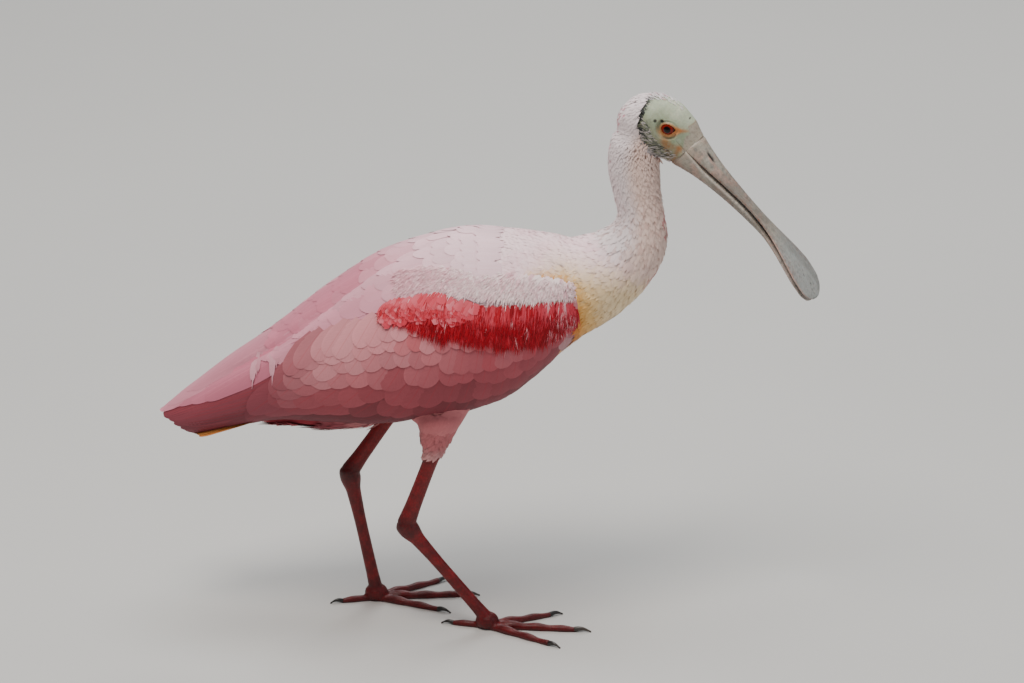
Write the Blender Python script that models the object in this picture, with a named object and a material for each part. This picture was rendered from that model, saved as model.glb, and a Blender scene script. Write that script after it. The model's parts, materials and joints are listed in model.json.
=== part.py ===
"""A life-size roseate spoonbill wading with its neck raised and its bill held down.

Units are metres, +Z is up, the bird faces +X and its left side is +Y, and its toes rest on the floor at
Z = 0. The sizes below are measured from a point on the floor under the breast, and one empty then moves
the whole bird so that the origin is at the middle of the floor that it covers.
"""

from math import cos, pi, radians, sin, sqrt

import bmesh
import bpy
import numpy as np
from mathutils import Vector

GAP = 0.0003  # air left between two pieces that touch
MIDDLE_OF_FLOOR = Vector((0.0495, -0.0010, 0.0))  # middle of the bird's box, seen from the measuring point
SIDES = {"right": -1.0, "left": 1.0}

# Plumage envelope of the body, folded wings included: x, height of the middle, half width, half height
BODY = [
    (0.137, 0.295, 0.017, 0.017),
    (0.131, 0.293, 0.033, 0.034),
    (0.115, 0.290, 0.047, 0.0455),
    (0.090, 0.2798, 0.058, 0.0610),
    (0.060, 0.2700, 0.066, 0.0740),
    (0.020, 0.2625, 0.069, 0.0800),
    (-0.030, 0.2510, 0.067, 0.0765),
    (-0.080, 0.2355, 0.056, 0.0610),
    (-0.130, 0.2165, 0.040, 0.0410),
    (-0.165, 0.2005, 0.030, 0.0325),
    (-0.195, 0.1855, 0.021, 0.0235),
    (-0.222, 0.1775, 0.009, 0.0085),
]
RUMP_START, TRUNK_REAR = -0.090, -0.150  # where the rump starts to close under the wings and where it ends
RUMP_LEAST = 0.30  # share of the body's section that is left at the rump's end
BODY_SIDES = 28
BODY_RINGS = 17

# Neck centreline from the breast to the nape: x, y, z, radius across, radius fore and aft
NECK = [
    (0.098, 0.000, 0.287, 0.046, 0.0420),
    (0.130, 0.000, 0.2998, 0.040, 0.0368),
    (0.155, 0.000, 0.3155, 0.032, 0.0318),
    (0.1705, 0.000, 0.336, 0.0250, 0.0262),
    (0.1735, 0.001, 0.357, 0.0205, 0.0200),
    (0.1690, 0.002, 0.380, 0.0195, 0.0200),
    (0.1660, 0.003, 0.402, 0.0200, 0.0212),
    (0.1705, 0.003, 0.4245, 0.0190, 0.0205),
    (0.180, 0.003, 0.440, 0.0130, 0.0140),
]
NECK_CUTS = (0.36, 0.66)  # shares of the neck's length where it is parted into lengths
NECK_RINGS, NECK_SIDES = 22, 16
NECK_GAP = 0.0004  # air between two lengths of neck

# Head frame: the middle of the gape, turned towards the bird's right and pitched down along the bill
GAPE = Vector((0.2105, -0.0060, 0.4225))
HEAD_YAW = radians(14.5)
HEAD_PITCH = radians(48.2)
# Skull and face skin: distance ahead of the gape, top, bottom, half width, all in the head frame
HEAD = [
    (-0.0550, -0.0120, -0.0180, 0.0030),
    (-0.0525, -0.0040, -0.0280, 0.0100),
    (-0.0455, 0.0070, -0.0345, 0.0155),
    (-0.0350, 0.0150, -0.0360, 0.0185),
    (-0.0230, 0.0185, -0.0335, 0.0183),
    (-0.0110, 0.0185, -0.0300, 0.0158),
    (0.0000, 0.0158, -0.0240, 0.0128),
    (0.0035, 0.0150, -0.0225, 0.0122),
]
HEAD_RINGS, HEAD_SIDES = 11, 18
EYE_AHEAD, EYE_UP, EYE_OUT = -0.0202, 0.0003, 0.0102
EYE_RADIUS = 0.0077

BILL_LENGTH = 0.166
BILL_BOW = 0.0070  # how far the bill's middle arches above the line from gape to tip
BILL_BOW_SHIFT = 1.15  # moves the highest point of the arch towards the tip
BILL_GAPE_OPEN = 0.0026  # opening between the two halves near the tip
BILL_OPEN_BY = 0.5  # share of the length where the opening is full
# Upper half of the bill: share of the length, half width, height above the mouth line
BILL_UPPER = [
    (0.000, 0.0125, 0.0140),
    (0.100, 0.0118, 0.0104),
    (0.210, 0.0103, 0.0070),
    (0.310, 0.0088, 0.0050),
    (0.420, 0.0076, 0.0036),
    (0.500, 0.0080, 0.0031),
    (0.590, 0.0106, 0.0029),
    (0.680, 0.0155, 0.0027),
    (0.770, 0.0212, 0.0025),
    (0.860, 0.0250, 0.0024),
    (0.920, 0.0246, 0.0022),
    (0.965, 0.0196, 0.0020),
    (0.990, 0.0115, 0.0018),
    (1.000, 0.0045, 0.0016),
]
# Lower half: share of the length, half width, depth below its own edge
BILL_LOWER = [
    (0.000, 0.0120, 0.0215),
    (0.060, 0.0116, 0.0185),
    (0.130, 0.0108, 0.0150),
    (0.240, 0.0096, 0.0118),
    (0.380, 0.0078, 0.0092),
    (0.500, 0.0078, 0.0070),
    (0.590, 0.0103, 0.0054),
    (0.680, 0.0150, 0.0043),
    (0.770, 0.0204, 0.0034),
    (0.860, 0.0240, 0.0029),
    (0.920, 0.0234, 0.0026),
    (0.965, 0.0182, 0.0022),
    (0.985, 0.0108, 0.0018),
    (0.992, 0.0045, 0.0016),
]
BILL_RINGS, BILL_SIDES = 15, 9

# Layers of the folded wing, bent over the body: front and rear x, upper and lower edge at the front and
# the rear in degrees round from the top of the back, and thickness
WING_LAYERS = {
    "scapulars": dict(front=0.090, rear=-0.221, upper=(30, 4), lower=(66, 60), thick=0.0065, rounding=(0.18, 0.22)),
    "wing_coverts": dict(front=0.127, rear=-0.0606, upper=(68, 68), lower=(120, 148), thick=0.0070, rounding=(0.26, 0.0)),
    "primaries": dict(front=-0.0610, rear=-0.208, upper=(68, 62), lower=(148, 126), thick=0.0070, rounding=(0.0, 0.22)),
}
LAYER_ALONG, LAYER_ACROSS = 10, 4
LAYER_GAP = 0.0005  # measured round the body, which leaves about 0.3 mm where a layer slopes steeply
LEAST_BREADTH = 0.16  # share of a layer's breadth that is left at its rounded ends
LAYER_SHARE = 0.55  # most of the body's radius that a layer may take up where the body is thin
EDGE_THIN = 0.5  # share of its thickness that a layer loses towards its edges
CUTTER_REACH = 0.02  # how far the cutter of a layer's recess stands out of the body

TAIL_ROOT = Vector((-0.112, 0.0, 0.1975))
TAIL_TIP = Vector((-0.196, 0.0, 0.1675))
TAIL_ROOT_HALF, TAIL_TIP_HALF = 0.0150, 0.0215
TAIL_THICK = 0.0050
TAIL_THINNING = 0.6  # share of the tail's thickness that is gone at its tip
TAIL_SAG = 0.0022  # how far its outer feathers lie below the middle ones
TAIL_CLEAR = 0.0065  # half height of the space for the tail above its undertail coverts
# Undertail coverts: x, height of the middle, half width, half height
UNDERTAIL = [
    (-0.052, 0.1865, 0.026, 0.0160),
    (-0.080, 0.1825, 0.024, 0.0140),
    (-0.110, 0.1790, 0.020, 0.0110),
    (-0.138, 0.1755, 0.015, 0.0065),
    (-0.156, 0.1725, 0.008, 0.0020),
]

# Legs: the feathered thigh and bare shank run from the knee to the ankle, then the tarsus to the toes
LEGS = {
    "right": dict(knee=(0.0315, -0.0330, 0.239), ankle=(-0.0205, -0.0285, 0.0925), toes=(0.0470, -0.0300)),
    "left": dict(knee=(0.0190, 0.0330, 0.2450), ankle=(-0.0680, 0.0275, 0.1170), toes=(-0.0460, 0.0290)),
}
FOOT_HEADING = {"right": radians(-6), "left": radians(5)}
THIGH_END = {"right": 0.577, "left": 0.60}  # share of the way from knee to ankle that is feathered
THIGH_BACK = -0.016  # how far behind the knee the middle of the thigh lies at its top
# Thigh feathers: share of their own length, radius across, radius fore and aft
THIGH_RADII = [
    (0.00, 0.0240, 0.0330),
    (0.45, 0.0200, 0.0255),
    (0.70, 0.0150, 0.0180),
    (0.87, 0.0112, 0.0122),
    (1.00, 0.0088, 0.0090),
]
THIGH_RINGS, THIGH_SIDES = 9, 14
# Bare leg above the ankle, then below it: share of the length, radius across, radius fore and aft
SHANK_RADII = [(0.0, 0.0062, 0.0070), (0.35, 0.0054, 0.0062), (0.75, 0.0055, 0.0066), (1.0, 0.0066, 0.0078)]
SHANK_STOP = 0.955  # share of the way from knee to ankle where the shank meets the ankle's knuckle
TARSUS_RADII = [
    (0.00, 0.0040, 0.0044),
    (0.035, 0.0073, 0.0085),
    (0.09, 0.0075, 0.0088),
    (0.20, 0.0050, 0.0062),
    (0.50, 0.0042, 0.0050),
    (0.85, 0.0046, 0.0052),
    (1.00, 0.0062, 0.0060),
]
ANKLE_CAP = 0.0060  # how far the knuckle of the ankle stands above the joint
LEG_SIDES = 10
BALL_HEIGHT = 0.0085  # where the tarsus ends in the joint that the toes spread from
BALL_SIZE = (0.0098, 0.0078, 0.0078)  # half lengths of that joint
BALL_SUNK = 0.0008  # how much of it is pressed flat by the floor
# Toes: heading from the foot's own, length of bare toe, root radius, claw length
TOES = {
    "inner": dict(turn=radians(30), length=0.058, radius=0.0042, claw=0.0110),
    "middle": dict(turn=radians(0), length=0.074, radius=0.0045, claw=0.0130),
    "outer": dict(turn=radians(-29), length=0.063, radius=0.0042, claw=0.0110),
    "hind": dict(turn=radians(172), length=0.030, radius=0.0038, claw=0.0095),
}
TOE_BASE = 0.020  # length of each toe that is joined to its neighbours by the web
HIND_BASE = 0.011
WEB_TOP, WEB_BOTTOM = 0.0036, 0.0016
WEB_REACH = 0.94  # share of a toe's joined length that the web runs along
WEB_NOTCH = 0.28  # how far the web's free edge is drawn back towards the ball
TOE_SUNK = 0.80  # height of a toe's middle in radii, the rest being pressed flat by the floor
TOE_TAPER = 0.42
TOE_PADS, PAD_SPACING = 0.10, 0.021  # swelling at the knuckles and the distance between them
TOE_RINGS, TOE_SIDES = 6, 8
ROOT_START = 0.003  # where a toe's root starts inside the ball
CLAW_SHARE, CLAW_TAPER, CLAW_ARCH = 0.50, 0.82, 0.0016
CLAW_SIDES = 6

# Colours are linear, for plain views of the solids
PALE_PINK = (0.72, 0.52, 0.55, 1.0)
ROSE = (0.62, 0.20, 0.24, 1.0)
WHITE = (0.75, 0.70, 0.66, 1.0)
SKIN_GREEN = (0.45, 0.50, 0.40, 1.0)
HORN = (0.42, 0.40, 0.36, 1.0)
EYE_RED = (0.25, 0.02, 0.01, 1.0)
LEG_RED = (0.20, 0.02, 0.02, 1.0)
CLAW_BLACK = (0.03, 0.025, 0.02, 1.0)
TAIL_BUFF = (0.65, 0.33, 0.15, 1.0)
SHARP_ANGLE = radians(40)


def clear_scene():
    for obj in list(bpy.data.objects):
        bpy.data.objects.remove(obj)


def material(name, colour, roughness):
    made = bpy.data.materials.new(name)
    made.use_nodes = True
    shader = made.node_tree.nodes["Principled BSDF"]
    shader.inputs["Base Color"].default_value = colour
    shader.inputs["Roughness"].default_value = roughness
    shader.inputs["Metallic"].default_value = 0.0
    return made


def curve_through(table, at):
    """Rows read at the given values of a table's first column, along a smooth curve that never overshoots."""
    rows = np.array(table, float)
    if rows[0, 0] > rows[-1, 0]:
        rows = rows[::-1]
    x, y = rows[:, 0], rows[:, 1:]
    slope = np.diff(y, axis=0) / np.diff(x)[:, None]
    total = np.where(slope[1:] + slope[:-1] == 0, 1.0, slope[1:] + slope[:-1])
    inner = np.where(slope[1:] * slope[:-1] > 0, 2 * slope[1:] * slope[:-1] / total, 0.0)
    tangent = np.vstack([slope[:1], inner, slope[-1:]])
    at = np.atleast_1d(np.asarray(at, float))
    i = np.clip(np.searchsorted(x, at) - 1, 0, len(x) - 2)
    width = (x[i + 1] - x[i])[:, None]
    t = (at - x[i])[:, None] / width
    ease = 3 * t**2 - 2 * t**3
    start, end = (t**3 - 2 * t**2 + t) * width, (t**3 - t**2) * width
    return (1 - ease) * y[i] + ease * y[i + 1] + start * tangent[i] + end * tangent[i + 1]


def path_through(points, count):
    """Evenly spaced rows along a smooth curve through points. Columns past the third are carried along."""
    rows = np.array(points, float)
    steps = np.linalg.norm(np.diff(rows[:, :3], axis=0), axis=1)
    reach = np.concatenate([[0], np.cumsum(steps)])
    tangent = np.gradient(rows, reach, axis=0)
    fine = np.linspace(0, reach[-1], 400)
    i = np.clip(np.searchsorted(reach, fine) - 1, 0, len(rows) - 2)
    width = (reach[i + 1] - reach[i])[:, None]
    t = (fine - reach[i])[:, None] / width
    ease = 3 * t**2 - 2 * t**3
    start, end = (t**3 - 2 * t**2 + t) * width, (t**3 - t**2) * width
    curve = (1 - ease) * rows[i] + ease * rows[i + 1] + start * tangent[i] + end * tangent[i + 1]
    length = np.concatenate([[0], np.cumsum(np.linalg.norm(np.diff(curve[:, :3], axis=0), axis=1))])
    wanted = np.linspace(0, length[-1], count)
    return np.stack([np.interp(wanted, length, column) for column in curve.T], 1)


def solid(name, mesh, look=None):
    """Puts a finished bmesh in the scene with its faces turned outwards. Without a look it is a cutter."""
    bmesh.ops.recalc_face_normals(mesh, faces=mesh.faces)
    data = bpy.data.meshes.new(name)
    mesh.to_mesh(data)
    mesh.free()
    data.shade_smooth()
    data.set_sharp_from_angle(angle=SHARP_ANGLE)
    obj = bpy.data.objects.new(name, data)
    bpy.context.scene.collection.objects.link(obj)
    if look:
        data.materials.append(look)
    else:
        obj.hide_render = True
        obj.display_type = "WIRE"
    return obj


def loft(name, rings, look=None):
    """A closed solid through rings that all have the same number of points.

    Each end is closed by a strip between the ring's two halves, which also fits a crescent. The sides are
    triangles, so that a recess bends along the same lines as the piece that lies in it.
    """
    mesh = bmesh.new()
    loops = [[mesh.verts.new(p) for p in ring] for ring in rings]
    count = len(loops[0])
    for near, far in zip(loops, loops[1:]):
        for i in range(count):
            j = (i + 1) % count
            mesh.faces.new((near[i], near[j], far[j]))
            mesh.faces.new((near[i], far[j], far[i]))
    for loop in (loops[0], loops[-1]):
        for i in range(count // 2 - 1):
            mesh.faces.new((loop[i], loop[i + 1], loop[count - 2 - i], loop[count - 1 - i]))
        if count % 2:
            mesh.faces.new(loop[count // 2 - 1 : count // 2 + 2])
    return solid(name, mesh, look)


def boolean(obj, other, operation="DIFFERENCE"):
    modifier = obj.modifiers.new(operation.title(), "BOOLEAN")
    modifier.operation = operation
    modifier.solver = "EXACT"
    modifier.object = other


def turns(count):
    return [2 * pi * k / count for k in range(count)]


def eased(count):
    """Shares from 0 to 1 that lie closer together at both ends, as the rings of a rounded solid do."""
    return [(1 - cos(pi * k / (count - 1))) / 2 for k in range(count)]


def body_point(x, angle, side, grow=0.0):
    """A point on the plumage, at an angle in radians round from the top of the back."""
    height, across, up = curve_through(BODY, x)[0]
    return Vector((x, side * (across + grow) * sin(angle), height + (up + grow) * cos(angle)))


def envelope(name, grow=0.0, look=None):
    """The plumage as one closed solid, or as a cutter that leaves a gap round it."""
    front = BODY[0][0]
    rings = []
    for share in eased(BODY_RINGS):
        x = front - (front - TRUNK_REAR) * share
        closing = max(RUMP_START - x, 0.0) / (RUMP_START - TRUNK_REAR)
        middle = Vector((x, 0, curve_through(BODY, x)[0][0]))
        left = max(sqrt(max(1 - closing * closing, 0.0)), RUMP_LEAST)
        ring = [middle.lerp(body_point(x, turn, -1.0, grow), left) for turn in turns(BODY_SIDES)]
        if share == 0:
            ring = [point + Vector((grow, 0, 0)) for point in ring]
        rings.append(ring)
    return loft(name, rings, look)


def breadth_left(share, rounding):
    """How much of a layer's breadth is left at a share of its length, so that both ends are rounded."""
    front, rear = rounding
    if share < front:
        missing = 1 - share / front
    elif share > 1 - rear:
        missing = 1 - (1 - share) / rear
    else:
        missing = 0.0
    return max(sqrt(1 - missing * missing), LEAST_BREADTH)


def layer_rings(kind, side, grow=0.0):
    """Rings of one layer of the folded wing, bent over the body. grow makes those of the recess for it."""
    size = WING_LAYERS[kind]
    length = size["front"] - size["rear"]
    rings = []
    for share in eased(LAYER_ALONG + 1):
        x = size["front"] + grow - share * (length + 2 * grow)
        upper = size["upper"][0] + share * (size["upper"][1] - size["upper"][0])
        lower = size["lower"][0] + share * (size["lower"][1] - size["lower"][0])
        middle = radians((upper + lower) / 2)
        radius = float(curve_through(BODY, x)[0][1:].mean())
        half = radians((lower - upper) / 2) * breadth_left(share, size["rounding"]) + grow / radius
        thick = min(size["thick"], LAYER_SHARE * radius)
        top, bottom = [], []
        for j in range(LAYER_ACROSS + 1):
            across = 2 * j / LAYER_ACROSS - 1
            angle = middle + half * across
            top.append(body_point(x, angle, side, CUTTER_REACH if grow else 0.0))
            bottom.append(body_point(x, angle, side, -thick * (1 - EDGE_THIN * across**2) - grow))
        rings.append([*top, *reversed(bottom)])
    return rings


def sections(path, sides, grow=0.0, facing=None):
    """Oval rings along rows of x, y, z, radius across and radius fore and aft.

    The rings are square to the path, or all face the direction given.
    """
    rings = []
    last = len(path) - 1
    for i, row in enumerate(path):
        forward = facing or Vector(path[min(i + 1, last)][:3]) - Vector(path[max(i - 1, 0)][:3])
        forward = forward.normalized()
        fore = forward.cross(Vector((0, 1, 0))).normalized()
        wide = fore.cross(forward)
        centre = Vector(row[:3]) + forward * grow * ((i == last) - (i == 0))
        across, along = wide * (row[3] + grow), fore * (row[4] + grow)
        rings.append([centre + across * cos(t) + along * sin(t) for t in turns(sides)])
    return rings


def tube(name, path, sides, look=None, grow=0.0, facing=None):
    return loft(name, sections(path, sides, grow, facing), look)


def in_head(ahead, left, up):
    """A point given in the head frame, as a place in the world."""
    forward = Vector((cos(HEAD_YAW) * cos(HEAD_PITCH), -sin(HEAD_YAW) * cos(HEAD_PITCH), -sin(HEAD_PITCH)))
    sideways = Vector((sin(HEAD_YAW), cos(HEAD_YAW), 0))
    return GAPE + forward * ahead + sideways * left + forward.cross(sideways) * up


def head_solid(name, look=None, grow=0.0):
    rings = []
    for share in eased(HEAD_RINGS):
        ahead = HEAD[0][0] + (HEAD[-1][0] - HEAD[0][0]) * share
        top, bottom, half = curve_through(HEAD, ahead)[0]
        middle, tall = (top + bottom) / 2, (top - bottom) / 2 + grow
        ahead += grow * ((share == 1) - (share == 0))
        rings.append([in_head(ahead, (half + grow) * cos(t), middle + tall * sin(t)) for t in turns(HEAD_SIDES)])
    return loft(name, rings, look)


def build_body(pale, rose):
    """The trunk and the three layers of each folded wing, which lie in recesses in it."""
    trunk = envelope("trunk", look=rose)
    for side_name, side in SIDES.items():
        for kind in WING_LAYERS:
            loft(f"{kind}_{side_name}", layer_rings(kind, side), pale if kind == "scapulars" else rose)
        over, front, rear = (layer_rings(kind, side, LAYER_GAP) for kind in WING_LAYERS)
        boolean(trunk, loft(f"cut_scapulars_{side_name}", over))
        boolean(trunk, loft(f"cut_wing_{side_name}", front + rear[1:]))


def build_neck(white):
    """The neck in three lengths, cut to the body with its wings and to the head."""
    rings = sections(path_through(NECK, NECK_RINGS), NECK_SIDES)
    wings = [bpy.data.objects[f"cut_wing_{side}"] for side in SIDES]
    cutters = {"neck_lower": [*wings, envelope("cut_body", GAP)], "neck_upper": [head_solid("cut_head", grow=GAP)]}
    ends = [0, *(round(share * (NECK_RINGS - 1)) for share in NECK_CUTS), NECK_RINGS - 1]
    for name, first, last in zip(("neck_lower", "neck_middle", "neck_upper"), ends, ends[1:]):
        length = rings[first : last + 1]
        length[-1] = [end + (start - end).normalized() * NECK_GAP for start, end in zip(length[-2], length[-1])]
        piece = loft(name, length, white)
        for cutter in cutters.get(name, []):
            boolean(piece, cutter)


def eyeball(name, side, radius, look=None):
    mesh = bmesh.new()
    bmesh.ops.create_uvsphere(mesh, u_segments=14, v_segments=9, radius=radius)
    bmesh.ops.translate(mesh, verts=mesh.verts, vec=in_head(EYE_AHEAD, side * EYE_OUT, EYE_UP))
    return solid(name, mesh, look)


def build_head(skin, red):
    """The head with a socket for each eyeball."""
    head = head_solid("head", skin)
    for side_name, side in SIDES.items():
        eyeball(f"eye_{side_name}", side, EYE_RADIUS, red)
        boolean(head, eyeball(f"cut_eye_{side_name}", side, EYE_RADIUS + GAP))


def build_bill(horn):
    """Two long halves that flare into the flat spoon, held slightly apart."""
    start = HEAD[-1][0] + GAP
    for name, table, up in (("bill_upper", BILL_UPPER, 1.0), ("bill_lower", BILL_LOWER, -1.0)):
        rings = []
        for share in eased(BILL_RINGS):
            share *= table[-1][0]
            half, tall = curve_through(table, share)[0]
            ahead = start + share * (BILL_LENGTH - start)
            edge = BILL_BOW * sin(pi * share**BILL_BOW_SHIFT)
            if up < 0:
                edge -= GAP + BILL_GAPE_OPEN * min(share / BILL_OPEN_BY, 1.0)
            vault = [pi * k / BILL_SIDES for k in range(BILL_SIDES + 1)]
            rings.append([in_head(ahead, half * cos(turn), edge + up * tall * sin(turn)) for turn in vault])
        loft(name, rings, horn)


def build_tail(buff, rose):
    """Twelve short tail feathers closed into one flat wedge, over the soft feathers below it."""
    rings = []
    for share in (0.0, 0.35, 0.7, 0.88, 0.96, 1.0):
        centre = TAIL_ROOT.lerp(TAIL_TIP, share)
        half = TAIL_ROOT_HALF + (TAIL_TIP_HALF - TAIL_ROOT_HALF) * share
        half *= sqrt(1 - 0.6 * max((share - 0.7) / 0.3, 0.0) ** 2)
        thick = TAIL_THICK * (1 - TAIL_THINNING * share) / 2
        ring = []
        for turn in turns(12):
            across = half * cos(turn)
            ring.append(centre + Vector((0, across, thick * sin(turn) - TAIL_SAG * (across / TAIL_TIP_HALF) ** 2)))
        rings.append(ring)
    tail = loft("tail", rings, buff)
    path = [(x, 0.0, height, across, up) for x, height, across, up in UNDERTAIL]
    under = tube("undertail_coverts", path_through(path, 8), 12, rose)
    over = [(*TAIL_ROOT.lerp(TAIL_TIP, share), TAIL_TIP_HALF * 1.2, TAIL_CLEAR) for share in (-0.1, 0.5, 1.1)]
    rump = envelope("cut_rump", GAP)
    boolean(under, rump)
    boolean(under, tube("cut_tail", over, 16))
    boolean(tail, rump)


def leg_rows(start, end, radii, count, first=0.0, last=1.0):
    """Rows for a tube along part of the way between two joints, from a table of share and two radii."""
    shares = np.linspace(0, 1, count)
    sizes = curve_through(radii, shares)
    return [(*start.lerp(end, first + (last - first) * s), *size) for s, size in zip(shares, sizes)]


def build_leg(side, red, rose, black):
    """A feathered thigh and a bare shank above the ankle, then the tarsus and the foot."""
    knee, ankle = Vector(LEGS[side]["knee"]), Vector(LEGS[side]["ankle"])
    ball = Vector((*LEGS[side]["toes"], BALL_HEIGHT))
    end = THIGH_END[side]
    rows = [
        (row[0] + THIGH_BACK * (1 - k / (THIGH_RINGS - 1)), *row[1:])
        for k, row in enumerate(leg_rows(knee, ankle, THIGH_RADII, THIGH_RINGS, 0.0, end))
    ]
    thigh = tube(f"thigh_{side}", rows, THIGH_SIDES, rose)
    boolean(thigh, envelope(f"cut_belly_{side}", GAP))
    boolean(thigh, bpy.data.objects[f"cut_wing_{side}"])
    start = end + GAP / (ankle - knee).length
    rows = leg_rows(knee, ankle, SHANK_RADII, 6, start, SHANK_STOP)
    tube(f"shank_{side}", rows, LEG_SIDES, red)
    boolean(thigh, tube(f"cut_in_thigh_{side}", rows, LEG_SIDES, grow=GAP))
    top = ankle + (ankle - ball).normalized() * ANKLE_CAP
    tarsus = tube(f"tarsus_{side}", leg_rows(top, ball, TARSUS_RADII, 10), LEG_SIDES, red)
    boolean(tarsus, tube(f"cut_in_tarsus_{side}", rows, LEG_SIDES, grow=GAP))
    boolean(tarsus, ball_joint(f"cut_ball_{side}", ball, GAP))
    build_foot(side, ball, red, black)


def ball_joint(name, ball, grow=0.0, look=None):
    """The swollen joint that the toes spread from, flattened below where it rests on the floor."""
    mesh = bmesh.new()
    bmesh.ops.create_uvsphere(mesh, u_segments=12, v_segments=8, radius=1.0)
    for vertex in mesh.verts:
        x, y, z = (v * (size + grow) for v, size in zip(vertex.co, BALL_SIZE))
        vertex.co = Vector((ball.x + x, ball.y + y, max(BALL_SIZE[2] + z - BALL_SUNK, 0.0 if look else -BALL_SUNK)))
    return solid(name, mesh, look)


def toe_row(ball, facing, reach, radius, lift=0.0):
    """One row of a toe's tube: a place on the floor at a distance from the ball, and its radii."""
    place = ball + facing * reach
    return (place.x, place.y, radius * TOE_SUNK + lift, radius, radius * 0.92)


def on_floor(obj):
    """Presses what is below the floor up to it, so that the piece stands on a small flat."""
    for vertex in obj.data.vertices:
        vertex.co.z = max(vertex.co.z, 0.0)
    return obj


def build_foot(side, ball, red, black):
    """The ball with its webs and toe roots as one piece, then four toes and four claws."""
    foot = ball_joint(f"foot_{side}", ball, look=red)
    web_corner = {}
    for toe, size in TOES.items():
        heading = FOOT_HEADING[side] + size["turn"] * -SIDES[side]
        facing = Vector((cos(heading), sin(heading), 0))
        base = HIND_BASE if toe == "hind" else TOE_BASE
        length, radius = size["length"], size["radius"]

        def toe_radius(reach):
            return radius * (1 - TOE_TAPER * reach / length) * (1 + TOE_PADS * cos(2 * pi * reach / PAD_SPACING))

        reaches = np.linspace(ROOT_START, base, 3)
        rows = [toe_row(ball, facing, reach, toe_radius(reach)) for reach in reaches]
        boolean(foot, on_floor(tube(f"cut_root_{toe}_{side}", rows, TOE_SIDES, facing=facing)), "UNION")
        reaches = np.linspace(base + GAP, length, TOE_RINGS)
        rows = [toe_row(ball, facing, reach, toe_radius(reach)) for reach in reaches]
        on_floor(tube(f"toe_{toe}_{side}", rows, TOE_SIDES, red, facing=facing))
        rows = []
        for share in np.linspace(0, 1, 4):
            claw_radius = radius * CLAW_SHARE * (1 - CLAW_TAPER * share)
            arch = CLAW_ARCH * sin(pi * share)
            rows.append(toe_row(ball, facing, length + GAP + share * size["claw"], claw_radius, arch))
        on_floor(tube(f"claw_{toe}_{side}", rows, CLAW_SIDES, black, facing=facing))
        web_corner[toe] = ball + facing * base * WEB_REACH
    for first, second in (("inner", "middle"), ("middle", "outer")):
        corners = [ball, web_corner[first], web_corner[first].lerp(web_corner[second], 0.5), web_corner[second]]
        corners[2] = corners[2].lerp(ball, WEB_NOTCH)
        mesh = bmesh.new()
        low = [mesh.verts.new((p.x, p.y, WEB_BOTTOM)) for p in corners]
        high = [mesh.verts.new((p.x, p.y, WEB_TOP)) for p in corners]
        mesh.faces.new(low)
        mesh.faces.new(high)
        for i in range(4):
            mesh.faces.new((low[i - 1], low[i], high[i], high[i - 1]))
        boolean(foot, solid(f"cut_web_{first}_{side}", mesh), "UNION")


clear_scene()
pale_plumage = material("pale_pink_plumage", PALE_PINK, 0.85)
rose_plumage = material("rose_plumage", ROSE, 0.85)
red_scales = material("red_leg_scales", LEG_RED, 0.5)
claw_horn = material("black_claw_horn", CLAW_BLACK, 0.4)
build_body(pale_plumage, rose_plumage)
build_neck(material("white_neck_plumage", WHITE, 0.9))
build_head(material("bare_green_skin", SKIN_GREEN, 0.6), material("red_iris", EYE_RED, 0.1))
build_bill(material("bill_horn", HORN, 0.45))
build_tail(material("tail_buff", TAIL_BUFF, 0.8), rose_plumage)
for leg_side in SIDES:
    build_leg(leg_side, red_scales, rose_plumage, claw_horn)
pieces = list(bpy.data.objects)
carrier = bpy.data.objects.new("measuring_point", None)
carrier.location = -MIDDLE_OF_FLOOR
bpy.context.scene.collection.objects.link(carrier)
for piece in pieces:
    piece.parent = carrier
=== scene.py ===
"""A life-size roseate spoonbill as a still museum model: skin, bill, eyes, legs and plumage."""

import json
from itertools import product
from math import cos, pi, radians, sin

import bmesh
import bpy
import numpy as np
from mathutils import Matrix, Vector
from numpy.random import default_rng

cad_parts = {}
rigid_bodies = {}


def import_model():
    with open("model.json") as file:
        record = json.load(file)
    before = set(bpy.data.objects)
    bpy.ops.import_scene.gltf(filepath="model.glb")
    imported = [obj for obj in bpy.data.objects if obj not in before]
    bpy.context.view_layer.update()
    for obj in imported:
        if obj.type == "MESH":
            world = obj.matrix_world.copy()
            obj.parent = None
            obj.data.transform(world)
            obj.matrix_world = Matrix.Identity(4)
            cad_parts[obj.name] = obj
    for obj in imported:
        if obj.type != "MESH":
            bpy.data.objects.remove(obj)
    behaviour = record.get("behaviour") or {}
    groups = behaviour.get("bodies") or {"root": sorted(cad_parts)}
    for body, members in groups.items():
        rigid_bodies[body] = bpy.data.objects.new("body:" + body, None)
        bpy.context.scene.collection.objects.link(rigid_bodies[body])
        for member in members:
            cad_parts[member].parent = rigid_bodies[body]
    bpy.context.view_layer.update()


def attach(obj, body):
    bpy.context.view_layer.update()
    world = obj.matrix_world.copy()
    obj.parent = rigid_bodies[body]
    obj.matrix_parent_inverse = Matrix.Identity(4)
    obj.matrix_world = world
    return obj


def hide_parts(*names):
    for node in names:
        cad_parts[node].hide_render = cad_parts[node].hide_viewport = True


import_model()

# Flesh of trunk, neck and thighs
# The form under the coat: a mannikin body as a taxidermist carves it, smaller than the bird by the depth of
# its feathers. All lengths are metres from a point on the floor under the breast, 49.5 mm ahead of the
# middle of the box.
MEASURED_FROM = np.array((-0.0495, 0.0010, 0.0))
SIDES = {"right": -1.0, "left": 1.0}
BODY_COAT, NECK_COAT, THIGH_COAT, UNDERTAIL_COAT = 0.0050, 0.0028, 0.0030, 0.0030
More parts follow.
